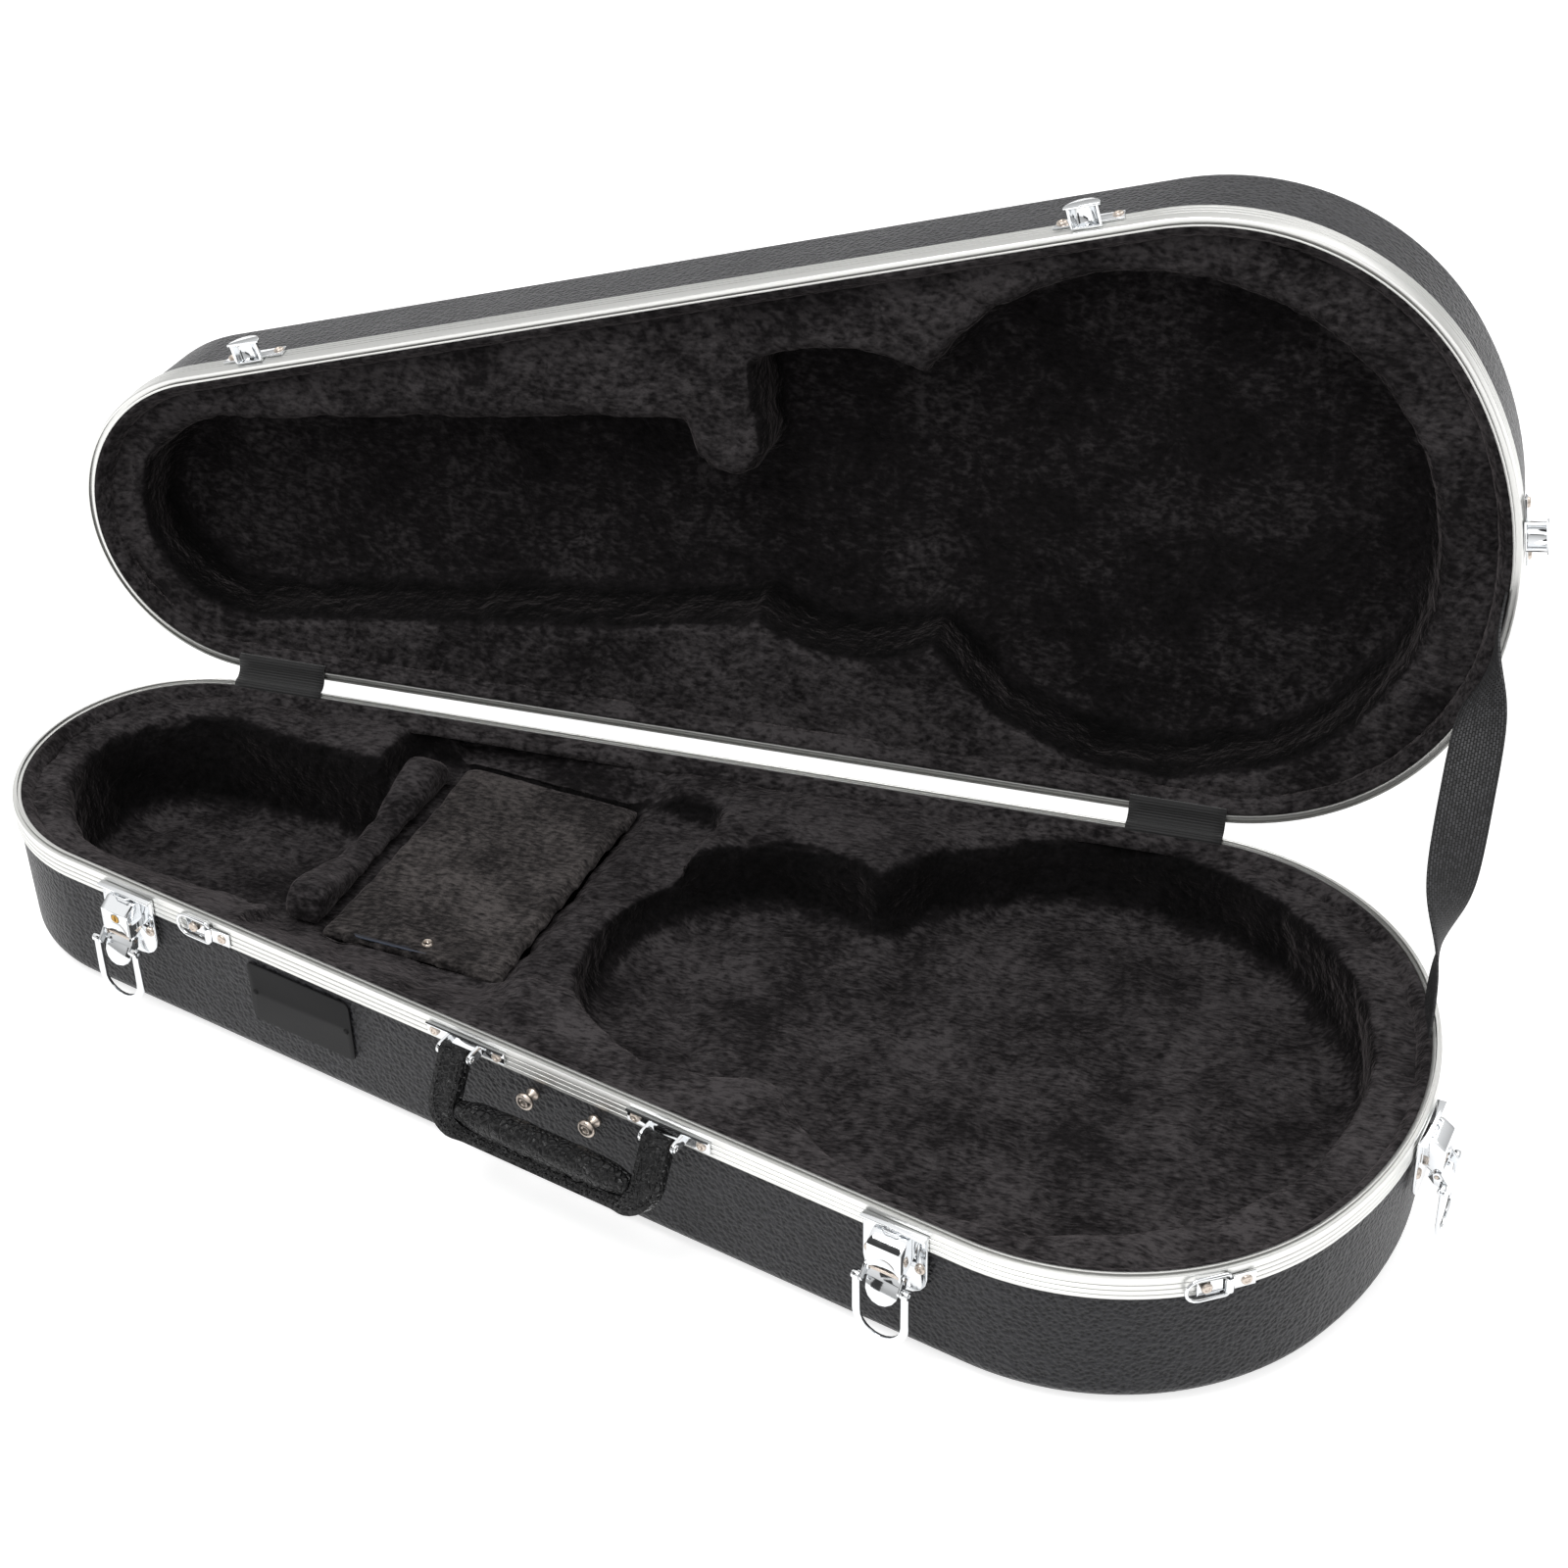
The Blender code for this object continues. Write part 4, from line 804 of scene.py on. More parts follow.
@dataclass
class Linings:
    """Plush-covered foam in both halves."""

    lining_voxel: float = 3.0
    pad_voxel: float = 2.6
    lump_mm: float = 2.4
    pressure: float = 4.0
    swell_mm: float = 2.2
    flap_u: float = 229.0
    flap_front: float = -66.0
    flap_rear: float = 93.0
    flap_top: float = -22.0
    pile: tuple[Point, ...] = ((5.2, -8.0), (4.9, -5.5), (4.85, -3.0), (4.7, -1.3), (5.3, -0.4), (6.4, -0.5),
                               (7.8, -1.3), (9.4, -2.9), (11.0, -5.2), (12.4, -8.0))

    def soften(self, name: str, node: str, voxel_mm: float, smooth: int) -> Object:
        """Makes a pillowy copy of a plain pad.

        Args:
            name: The new piece's name.
            node: The CAD node it stands for.
            voxel_mm: Size of the remeshing cells.
            smooth: How many times its edges are eased.

        Returns:
            The piece, not yet finished.
        """
        obj = piece(name, welded(node), None, 180.0)
        remesh = obj.modifiers.new("cells", "REMESH")
        remesh.mode = "VOXEL"
        remesh.voxel_size = voxel_mm * MM
        remesh.use_smooth_shade = True
        applied(obj)
        bm = bmesh.new()
        bm.from_mesh(obj.data)
        for _ in range(smooth):
            bmesh.ops.smooth_vert(bm, verts=bm.verts, factor=0.5, use_axis_x=True, use_axis_y=True, use_axis_z=True)
        bm.to_mesh(obj.data)
        bm.free()
        obj.data.shade_smooth()
        return obj

    def rumple(self, obj: Object) -> None:
        """Draws the plush's slow lumps in, so that the pad never grows into its neighbours."""
        spots = []
        for vert, normal in zip(obj.data.vertices, obj.data.vertex_normals):
            spot = vert.co.copy()
            slow = noise.noise(spot * 24.0) + 0.6 * noise.noise(spot * 60.0 + Vector((3.0, 1.0, 7.0)))
            fine = 0.35 * noise.noise(spot * 160.0)
            crease = (1.0 - abs(noise.noise(spot * 17.0 + Vector((9.0, 4.0, 2.0))))) ** 10
            depth = self.lump_mm * (0.5 + 0.55 * slow + fine + 0.8 * crease)
            spots.append(spot - Vector(normal.vector) * max(depth, 0.0) * MM)
        reshaped(obj, spots)

    def painted_shade(self, obj: Object, half: str = "") -> None:
        """Stores painted shade as a value per point: darker on walls and deep in the lid, where shade falls.

        Args:
            obj: The plush piece.
            half: "base" or "lid" for a whole lining.
        """
        back = LID.matrix.inverted() if half == "lid" else Matrix.Identity(4)
        deep_shade = 0.36 if half == "lid" else 0.08
        values = []
        for vert, normal in zip(obj.data.vertices, obj.data.vertex_normals):
            # Pieces with no half stay at 1, with no painted shade.
            level = 1.0
            if half:
                up = abs((back.to_3x3() @ Vector(normal.vector)).z)
                deep = abs((back @ vert.co).z / MM - PLAN.depth) - 6.0
                # Painted shade: walls fall to 0.32 of full, and deep parts lose up to 0.36 in the lid and 0.08 in the
                # base.
                level = (0.32 + 0.68 * clamped((up - 0.45) / 0.45)) * (1.0 - deep_shade * clamped(deep / 30.0))
            values.append(level)
        obj.data.attributes.new("painted_shade", "FLOAT", "POINT").data.foreach_set("value", values)

    def slope(self, obj: Object) -> None:
        """Lets the base's lining fall from the front rim and the rear shelf to the flap, as foam under plush does."""
        spots = []
        for vert in obj.data.vertices:
            u, v, z = PLAN.back(vert.co)
            rim_v = 8.0 - (PLAN.small_r / math.cos(PLAN.taper) + u * math.tan(PLAN.taper))
            before_end = clamped((self.flap_u + 22.0 - u) / 30.0)
            inner = self.flap_front + (16.0 if u < 92.0 else 0.0)
            front = clamped((u + 45.0) / 60.0) * before_end
            rear = clamped((u - 104.0) / 16.0) * before_end
            slopes = (
                (front, clamped((v - rim_v) / (inner - rim_v)), v < inner + 5.0 and z > self.flap_top - 3.0),
                (rear, 1.0 - (v - self.flap_rear) / 24.0,
                 self.flap_rear < v < self.flap_rear + 24.0 and z > self.flap_top - 6.0),
            )
            for ends, share, here in slopes:
                if here:
                    fall = -4.0 + (self.flap_top + 4.5) * smooth_step(share)
                    z = min(z, z + (fall - z) * ends)
            spots.append(PLAN.spot(u, v, z))
        reshaped(obj, spots)

    def stuffed(self, obj: Object) -> None:
        """Blows a small pad up as cloth, its movement capped."""
        before = [vert.co.copy() for vert in obj.data.vertices]
        settings = obj.modifiers.new("stuffing", "CLOTH").settings
        settings.use_pressure = True
        settings.uniform_pressure_force = self.pressure
        settings.quality = 6
        settings.tension_stiffness = settings.compression_stiffness = 12.0
        settings.effector_weights.gravity = 0.0
        for frame in range(1, 16):
            bpy.context.scene.frame_set(frame)
        applied(obj)
        bpy.context.scene.frame_set(1)
        steps = [vert.co - was for vert, was in zip(obj.data.vertices, before)]
        cap = self.swell_mm * MM
        reshaped(obj, [was + step * min(1.0, cap / max(step.length, 1e-9)) for was, step in zip(before, steps)])

    def fringe(self, half: str) -> None:
        """Pile that stands up along the inner lip of the "base" or "lid" rim."""
        bm = bmesh.new()
        PLAN.run_round(bm, PLAN.section(bm, list(self.pile), True), 6)
        long = [e for e in bm.edges if e.calc_length() > 100.0 * MM]
        bmesh.ops.subdivide_edges(bm, edges=long, cuts=150, use_grid_fill=True)
        for vert in bm.verts:
            grain = noise.noise(vert.co * 330.0) + 0.5 * noise.noise(vert.co * 120.0)
            depth = 0.5 + 0.6 * (vert.co.z - PLAN.depth * MM < -1.6 * MM)
            vert.co.z += min(0.0, grain - 0.1) * depth * MM
            vert.co += Vector((noise.noise(vert.co * 290.0 + Vector((5, 0, 0))),
                               noise.noise(vert.co * 290.0 + Vector((0, 5, 0))), 0.0)) * 0.45 * MM
        made = piece(f"{half}_pile_edge", bm, LID.half(half), 180.0)
        self.painted_shade(made)
        fitted(made, Surface.PLUSH, half)

    def build(self) -> None:
        """Builds both linings, the cradle's rolls and the flap."""
        for half in ("base", "lid"):
            pad = self.soften(f"{half}_lining", f"{half}_padding", self.lining_voxel, 5)
            if half == "base":
                self.slope(pad)
            self.rumple(pad)
            # Painted shade on the lining's walls and deep parts.
            self.painted_shade(pad, half)
            self.fringe(half)
            fitted(pad, Surface.PLUSH, half, f"{half}_padding")
            LOG.info("%s lining", half)
        for name, node, body, surface in (("cradle_rolls", "neck_cradle", "base", Surface.PLUSH),
                                          ("flap_cover", "compartment_lid", "compartment", Surface.FLAP_PLUSH)):
            pad = self.soften(name, node, self.pad_voxel, 3)
            self.stuffed(pad)
            self.painted_shade(pad)
            fitted(pad, surface, body, node)
            LOG.info("%s", name)


# Metal fittings

def merged(node: str, heads: list[Matrix] | None = None) -> BMesh:
    """Copy of a plain fitting with its flat faces whole, and its plain rivet heads taken off.

    Args:
        node: The CAD node.
        heads: Frames on the plate at each rivet, y pointing into the wall.

    Returns:
        The mesh.
    """
    bm = welded(node, 0.01 * MM)
    for head in heads or []:
        back = head.inverted()
        local = {vert: back @ vert.co for vert in bm.verts}
        gone = [vert for vert, at in local.items() if at.y < -0.08 * MM and math.hypot(at.x, at.z) < 3.0 * MM]
        bmesh.ops.delete(bm, geom=gone, context="VERTS")
    if heads:
        bmesh.ops.holes_fill(bm, edges=[e for e in bm.edges if e.is_boundary], sides=0)
    bmesh.ops.dissolve_limit(bm, angle_limit=math.radians(2.0), verts=bm.verts, edges=bm.edges)
    return bm


def cut_across(bm: BMesh, frame: Matrix, axis: int, places: list[float]) -> None:
    """Cuts a mesh across one axis of a frame, for a later bend.

    Args:
        bm: The mesh.
        frame: The frame.
        axis: 0, 1 or 2.
        places: Where, in millimetres.
    """
    normal = frame.to_3x3().col[axis]
    for place in places:
        spot = frame.translation + normal * place * MM
        bmesh.ops.bisect_plane(bm, geom=bm.verts[:] + bm.edges[:] + bm.faces[:], plane_co=spot, plane_no=normal)


def bevelled(bm: BMesh, edges: list, width_mm: float, segments: int) -> BMesh:
    """Bevels some edges of a mesh, and returns the mesh."""
    bmesh.ops.bevel(bm, geom=edges, offset=width_mm * MM, offset_type="OFFSET", segments=segments, profile=0.5,
                    affect="EDGES", material=-1, clamp_overlap=True)
    return bm


def broken(bm: BMesh, width_mm: float) -> BMesh:
    """Breaks a mesh's sharp edges by a narrow bevel, and returns the mesh."""
    sharp = [e for e in bm.edges if len(e.link_faces) == 2 and e.calc_face_angle(0.0) > math.radians(40.0)]
    return bevelled(bm, sharp, width_mm, 2)


def round_head(bm: BMesh, frame: Matrix, radius: float, rise: float, slot: bool) -> None:
    """Adds a rivet head: a low dome with a rolled edge and a dimple or a slot.

    Args:
        bm: The mesh that gets it.
        frame: Its place, y pointing into the wall.
        radius: Head radius in millimetres.
        rise: Head height in millimetres.
        slot: Whether a slot is cut, in place of a dimple.
    """
    dome = [(0.0, 0.55), (0.34, 0.6), (0.46, 0.92), (0.72, 0.98), (0.9, 0.72), (1.0, 0.3), (1.0, 0.0)]
    lathe(bm, frame, [(share * radius, high * rise) for share, high in dome], 20)
    if slot:
        turn = frame.to_3x3()
        across, half = turn @ Vector((0, 0, 1)), radius * MM
        away = [(vert, vert.co - frame.translation) for vert in bm.verts]
        middle = [vert for vert, out in away if out.length < 0.62 * half and abs(out.dot(across)) < 0.22 * half]
        bmesh.ops.translate(bm, verts=middle, vec=turn @ Vector((0, 1, 0)) * 0.25 * rise * MM)


def bent_strip(bm: BMesh, frame: Matrix, path: list[Spot], pull: Spot, thick: float) -> None:
    """Adds a strip of sheet metal along a path.

    Args:
        bm: The mesh that gets it.
        frame: Frame of the path's points, which are in millimetres.
        path: The points.
        pull: The strip's width as a direction and length.
        thick: Thickness in millimetres.
    """
    _, edges = chain(bm, [frame @ (Vector(point) * MM) for point in path])
    pulled = bmesh.ops.extrude_edge_only(bm, edges=edges)["geom"]
    bmesh.ops.translate(bm, verts=only(pulled, bmesh.types.BMVert), vec=frame.to_3x3() @ (Vector(pull) * MM))
    faces = only(pulled, bmesh.types.BMFace)
    bmesh.ops.recalc_face_normals(bm, faces=faces)
    bmesh.ops.solidify(bm, geom=faces, thickness=thick * MM)


HANDLE_ALONG = 320.4
HANDLE_PIN = (0.0, -9.5, -7.0)
BRACKET_X = 59.4


@dataclass
class Fittings:
    """Everything of plated steel that is bolted or riveted to the rims."""

    latch_along: Point = (42.3, 503.8)
    ring_along: float = 96.6
    ring_corner_deg: float = -57.1
    stud_x: Point = (-21.6, 14.9)
    edge_mm: float = 0.28
    sheet_mm: float = 0.5
    rivet_r: float = 2.75
    rivet_rise: float = 1.45
    dimple_r: float = 6.9
    dimple_mm: float = 1.7
    lever_pivot: Spot = (0.0, -10.0, -26.0)
    lever_deg: float = 140.0
    curl: float = 19.0
    curl_from: float = 3.2
    pressed: tuple[str, ...] = ("latch_plate", "latch_bail", "lid_catch", "handle_bracket", "ring_clip", "strap_ring")
    arch: tuple[Spot, ...] = ((-5.6, -4.6, -4.7), (-4.2, -6.2, -4.7), (-3.0, -6.9, -4.7), (3.0, -6.9, -4.7),
                              (4.2, -6.2, -4.7), (5.6, -4.6, -4.7))
    stud: tuple[Point, ...] = ((0.0, 7.2), (1.5, 7.1), (2.0, 7.75), (3.2, 7.9), (4.3, 7.3), (4.85, 6.3), (4.75, 5.2),
                               (4.0, 4.6), (2.3, 4.4), (2.2, 1.2), (3.2, 0.3), (3.4, -0.4), (3.4, -1.3))

    def latch_frames(self) -> list[Matrix]:
        """Frames at the three latches."""
        return [front_frame(along) for along in self.latch_along] + [arc_frame(PLAN.end_u, 0.0, PLAN.end_r, 0.0)]

    def ring_frames(self) -> list[Matrix]:
        """Frames at the two strap rings."""
        corner = math.radians(self.ring_corner_deg) + PLAN.taper
        return [front_frame(self.ring_along), arc_frame(PLAN.corner_u, -PLAN.corner_v, PLAN.corner_r, corner)]

    def rivet_jobs(self) -> dict[str, tuple[str, list[Matrix]]]:
        """Plate node to its body and the frames of its rivets, on the plate's face."""
        handle = front_frame(HANDLE_ALONG)
        plates = []
        for i, frame in enumerate(self.latch_frames(), 1):
            plates += [(f"latch_plate_{i}", "base", frame, 0.0, 13.4, -24.0, 1.8),
                       (f"lid_catch_{i}", "lid", LID.matrix @ frame, 0.0, 14.0, 13.2, 1.5)]
        for i, frame in enumerate(self.ring_frames(), 1):
            plates.append((f"ring_clip_{i}", "base", frame, 0.0, 9.5, -8.0, 1.3))
        for i, x in enumerate((-BRACKET_X, BRACKET_X), 1):
            plates.append((f"handle_bracket_{i}", "base", handle, x, 18.8, -6.8, 1.5))
        return {node: (body, [frame @ moved(side, -out, z) for side in (x - half, x + half)])
                for node, body, frame, x, half, z, out in plates}

    def plain(self, bodies: dict[str, str]) -> None:
        """Breaks the edges of every pressed fitting and sets its rivets.

        Args:
            bodies: Body of each CAD node.
        """
        jobs = self.rivet_jobs()
        for node, body in bodies.items():
            if node.rsplit("_", 1)[0] in self.pressed:
                heads = jobs[node][1] if node in jobs else None
                made = piece(f"{node}_pressed", broken(merged(node, heads), self.edge_mm), None, 50.0)
                fitted(made, Surface.CHROME, body, node)
        for node, (body, heads) in jobs.items():
            bm = bmesh.new()
            for head in heads:
                round_head(bm, head @ moved(0.0, 0.1, 0.0), self.rivet_r, self.rivet_rise, "latch" in node)
            fitted(piece(f"{node}_rivets", bm, None, 45.0), Surface.RIVET, body)

    def covers(self) -> None:
        """Latch covers with a finger recess pressed low into the front."""
        for i, frame in enumerate(self.latch_frames(), 1):
            node = f"latch_cover_{i}"
            bm = merged(node)
            cut_across(bm, frame, 0, [float(x) for x in range(-7, 8)])
            cut_across(bm, frame, 2, [-23.0 + z for z in range(8)])
            back = frame.inverted()
            for vert in bm.verts:
                local = back @ vert.co
                away = math.hypot(local.x / MM, local.z / MM + 23.5) / self.dimple_r
                if away < 1.0 and local.y < -10.5 * MM:
                    local.y += self.dimple_mm * MM * (1.0 - away ** 3)
                    vert.co = frame @ local
            fitted(piece(f"{node}_pressed", broken(bm, self.edge_mm), None, 50.0), Surface.CHROME, "base", node)

    def levers(self) -> None:
        """Latch levers with the tongue curled and thickened for the finger."""
        for i, frame in enumerate(self.latch_frames(), 1):
            pivot = frame @ moved(*self.lever_pivot) @ Matrix.Rotation(math.radians(self.lever_deg), 4, "X")
            bm = merged(f"latch_lever_{i}")
            cut_across(bm, pivot, 2, [4.0 + 1.2 * step for step in range(10)])
            back = pivot.inverted()
            for vert in bm.verts:
                local = back @ vert.co
                along = local.z - self.curl_from * MM
                if along > 0.0 and local.y < -1.9 * MM:
                    thicker = 0.45 * MM * min(1.0, along / (13.0 * MM)) if local.y < -3.2 * MM else 0.0
                    local.y -= self.curl * along ** 2 + thicker
                    vert.co = pivot @ local
            made = piece(f"latch_tongue_{i}", broken(bm, 0.35), None, 50.0)
            fitted(made, Surface.CHROME, f"lever_{i}", f"latch_lever_{i}")

    def strips(self) -> None:
        """Bridge loops on the latches and bent top edges on the handle's brackets."""
        for i, frame in enumerate(self.latch_frames(), 1):
            bm = bmesh.new()
            bent_strip(bm, frame, self.arch, (0.0, 0.0, 1.1), self.sheet_mm)
            fitted(piece(f"latch_bridge_{i}", broken(bm, 0.12), None, 50.0), Surface.CHROME, "base")
        handle = front_frame(HANDLE_ALONG)
        for i, x in enumerate((-BRACKET_X, BRACKET_X), 1):
            bm = bmesh.new()
            left = x - 23.2
            edge = [(left, -0.9, -3.1), (left, -2.3, -2.6), (left, -2.9, -3.1), (left, -2.9, -3.7)]
            bent_strip(bm, handle, edge, (46.4, 0.0, 0.0), self.sheet_mm)
            for side in (-1, 1):
                for out in (-1, 1):
                    turn = Matrix.Rotation(side * out * math.pi / 2, 4, "Z")
                    ear = handle @ moved(x + side * (9.0 + 0.72 * out), *HANDLE_PIN[1:]) @ turn
                    round_head(bm, ear, 2.0, 0.8, False)
            fitted(piece(f"bracket_edge_{i}", bm, None, 45.0), Surface.CHROME, "base")

    def studs(self) -> None:
        """Handle studs: domed heads on short posts."""
        for i, x in enumerate(self.stud_x, 1):
            bm = bmesh.new()
            lathe(bm, front_frame(HANDLE_ALONG) @ moved(x, 0.0, -23.0), list(self.stud), 28)
            fitted(piece(f"handle_stud_{i}", bm, None, 50.0), Surface.RIVET, "base", f"shell_stud_{i}")

    def build(self, bodies: dict[str, str]) -> None:
        """Builds all the fittings.

        Args:
            bodies: Body of each CAD node.
        """
        self.plain(bodies)
        self.covers()
        self.levers()
        self.strips()
        self.studs()
        LOG.info("fittings")


# Handle

@dataclass
class Handle:
    """Stitched leatherette handle that hangs from two brackets."""

    leg_half: float = 7.5
    end: float = 40.0
    flange_top: float = 33.0
    leg_thick: float = 7.4
    flange_thick: float = 3.4
    lean_deg: float = 26.6
    grip_half: float = 51.4
    grip_drop: float = 26.0
    grip_r: Point = (8.2, 8.0)
    outer_r: float = 18.0
    inner_r: float = 9.0
    top: float = -1.0
    bar_r: float = 4.0
    stitch_mm: float = 3.0
    stitch: Point = (1.05, 0.42)

    @property
    def frame(self) -> Matrix:
        """The handle's own frame, x along it, z up its legs."""
        hung = front_frame(HANDLE_ALONG) @ moved(*HANDLE_PIN)
        return hung @ Matrix.Rotation(math.radians(-self.lean_deg), 4, "X")

    def outline(self, inset: float) -> list[Point]:
        """U-shaped outline of the leather, drawn in by an inset in millimetres."""
        outer = BRACKET_X + self.leg_half - inset
        inner = BRACKET_X - self.leg_half + inset
        low, high = self.outer_r - self.end + inset, self.inner_r - self.flange_top - inset
        corners = (
            (-1, outer, low, self.outer_r, 180, 90, 8), (1, outer, low, self.outer_r, 270, 90, 8),
            (1, inner, high, self.inner_r, 0, -90, 6), (-1, inner, high, self.inner_r, -90, -90, 6),
        )
        points = [(-outer, self.top)]
        for i, (side, reach, z, radius, start, sweep, steps) in enumerate(corners):
            for step in range(steps + 1):
                angle = math.radians(start + sweep * step / steps)
                points.append((side * (reach - radius) + radius * math.cos(angle), z + radius * math.sin(angle)))
            if i == 1:
                points += [(outer, self.top), (inner, self.top)]
        return points + [(-inner, self.top)]

    def thick(self, x: float) -> float:
        """Thickness of the leather at a place along the handle, in millimetres."""
        return self.flange_thick + (self.leg_thick - self.flange_thick) * smooth_step(clamped((abs(x) - 43.0) / 9.0))

    def cover(self) -> Object:
        """Leather U with rolled edges and a loop round each bracket's bar."""
        bm = bmesh.new()
        face = bm.faces.new([bm.verts.new(Vector((x, -0.5, z)) * MM) for x, z in self.outline(0.0)])
        grown = bmesh.ops.extrude_face_region(bm, geom=[face])["geom"]
        bmesh.ops.translate(bm, verts=only(grown, bmesh.types.BMVert), vec=(0.0, MM, 0.0))
        bmesh.ops.recalc_face_normals(bm, faces=bm.faces)
        cut_across(bm, Matrix.Identity(4), 0, [side * x for side in (-1, 1) for x in (43.0, 45.0, 47.0, 49.5, 52.0)])
        for vert in bm.verts:
            vert.co.y *= self.thick(vert.co.x / MM)
        rims = [e for e in bm.edges if e.calc_face_angle(0.0) > math.radians(60)
                and e.verts[0].co.y * e.verts[1].co.y > 0.0]
        bevelled(bm, rims, 1.1, 3)
        for x in (-BRACKET_X, BRACKET_X):
            turn = moved(x, 0.0, 0.0) @ Matrix.Rotation(math.pi / 2, 4, "Y")
            bmesh.ops.create_cone(bm, cap_ends=True, segments=24, radius1=self.bar_r * MM, radius2=self.bar_r * MM,
                                  depth=2 * self.leg_half * MM * 0.98, matrix=turn)
        return piece("handle_leather", bm, self.frame, 40.0)

    def grip(self) -> Object:
        """Padded grip: fat in the middle, drawn in where it meets the legs."""
        bm = bmesh.new()
        turn = Matrix.Rotation(math.pi / 2, 4, "Y")
        bmesh.ops.create_cone(bm, cap_ends=True, segments=48, radius1=1.0, radius2=1.0, depth=2.0, matrix=turn)
        rails = [e for e in bm.edges if abs(e.verts[0].co.x - e.verts[1].co.x) > 1.0]
        bmesh.ops.subdivide_edges(bm, edges=rails, cuts=80, use_grid_fill=True)
        for vert in bm.verts:
            share, y, z = vert.co
            fill = 0.42 + 0.58 * math.sqrt(max(0.0, 1.0 - abs(share) ** 4.0))
            creases = noise.noise(Vector((share * 9.0, y * 1.3, z * 1.3)))
            pinch = 1.0 - 0.1 * math.exp(-((abs(share) - 0.9) / 0.04) ** 2) + 0.05 * creases
            belly = 0.92 if z < 0 else 1.0
            vert.co = Vector((share * self.grip_half * MM, y * self.grip_r[0] * fill * pinch * MM,
                              (z * self.grip_r[1] * fill * pinch * belly - self.grip_drop) * MM))
        return piece("handle_pad", bm, self.frame, 60.0)

    def seam(self, points: list[Point], bm: BMesh) -> None:
        """Adds a row of stitches along a line on the leather's face.

        Args:
            points: The line as (x, z) in millimetres.
            bm: The mesh that gets them.
        """
        long, thin = (size * MM for size in self.stitch)
        along = 0.0
        for (x0, z0), (x1, z1) in zip(points, points[1:]):
            run = math.hypot(x1 - x0, z1 - z0)
            turn = Matrix.Rotation(-math.atan2(z1 - z0, x1 - x0), 4, "Y")
            while along < run:
                share = along / run
                x = x0 + (x1 - x0) * share
                place = moved(x, -self.thick(x) / 2 - 0.1, z0 + (z1 - z0) * share)
                shape = place @ turn @ Matrix.Diagonal((long, thin, thin, 1.0))
                bmesh.ops.create_icosphere(bm, subdivisions=1, radius=1.0, matrix=shape)
                along += self.stitch_mm
            along -= run

    def stitches(self) -> Object:
        """Rows of black thread along both edges of the leather."""
        bm = bmesh.new()
        rim = self.outline(2.3)
        inner = next(i for i, (x, z) in enumerate(rim) if i and z == self.top and x < BRACKET_X)
        self.seam(rim[:inner], bm)
        self.seam(rim[inner:], bm)
        return piece("handle_stitches", bm, self.frame, 180.0)

    def build(self) -> None:
        """Builds the handle."""
        fitted(self.cover(), Surface.HANDLE, "handle", "handle_loop")
        fitted(self.grip(), Surface.HANDLE, "handle", "handle_grip")
        fitted(self.stitches(), Surface.THREAD, "handle")
        LOG.info("handle")


# Woven pieces

def ribbon(name: str, path: list[tuple[Vector, Vector]], width: float, thick: float) -> Object:
    """A woven band along a path, mapped in metres along and across it.

    Args:
        name: The piece's name.
        path: Points and the band's side direction at each, in metres.
        width: The band's width in metres.
        thick: Its thickness in metres.

    Returns:
        The band.
    """
    steps = len(path) - 1
    runs = [0.0]
    for (before, _), (spot, _) in zip(path, path[1:]):
        runs.append(runs[-1] + (spot - before).length)
    bm = bmesh.new()
    layer = bm.loops.layers.uv.new("UVMap")
    bmesh.ops.create_grid(bm, x_segments=steps, y_segments=8, size=0.5)
    for face in bm.faces:
        for loop in face.loops:
            loop[layer].uv = (runs[round((loop.vert.co.x + 0.5) * steps)], loop.vert.co.y * width)
    for vert in bm.verts:
        spot, side = path[round((vert.co.x + 0.5) * steps)]
        vert.co = spot + side * width * vert.co.y
    made = piece(name, bm, None, 180.0, outward=False)
    shell = made.modifiers.new("cloth", "SOLIDIFY")
    shell.thickness = thick
    shell.offset = 0.0
    return applied(made)


def eased(points: list[Vector], cuts: int) -> list[Vector]:
    """A smooth line through points.

    Args:
        points: The points.
        cuts: Steps between each two.

    Returns:
        The finer line.
    """
    line = []
    for i, (a, b) in enumerate(zip(points, points[1:])):
        before, after = points[max(i - 1, 0)], points[min(i + 2, len(points) - 1)]
        for step in range(cuts):
            s = step / cuts
            line.append(0.5 * (2 * a + (b - before) * s + (2 * before - 5 * a + 4 * b - after) * s ** 2
                               + (3 * a - before - 3 * b + after) * s ** 3))
    return line + [points[-1]]


def length_of(line: list[Vector]) -> float:
    """Length of a line of points, in metres."""
    return sum((b - a).length for a, b in zip(line, line[1:]))


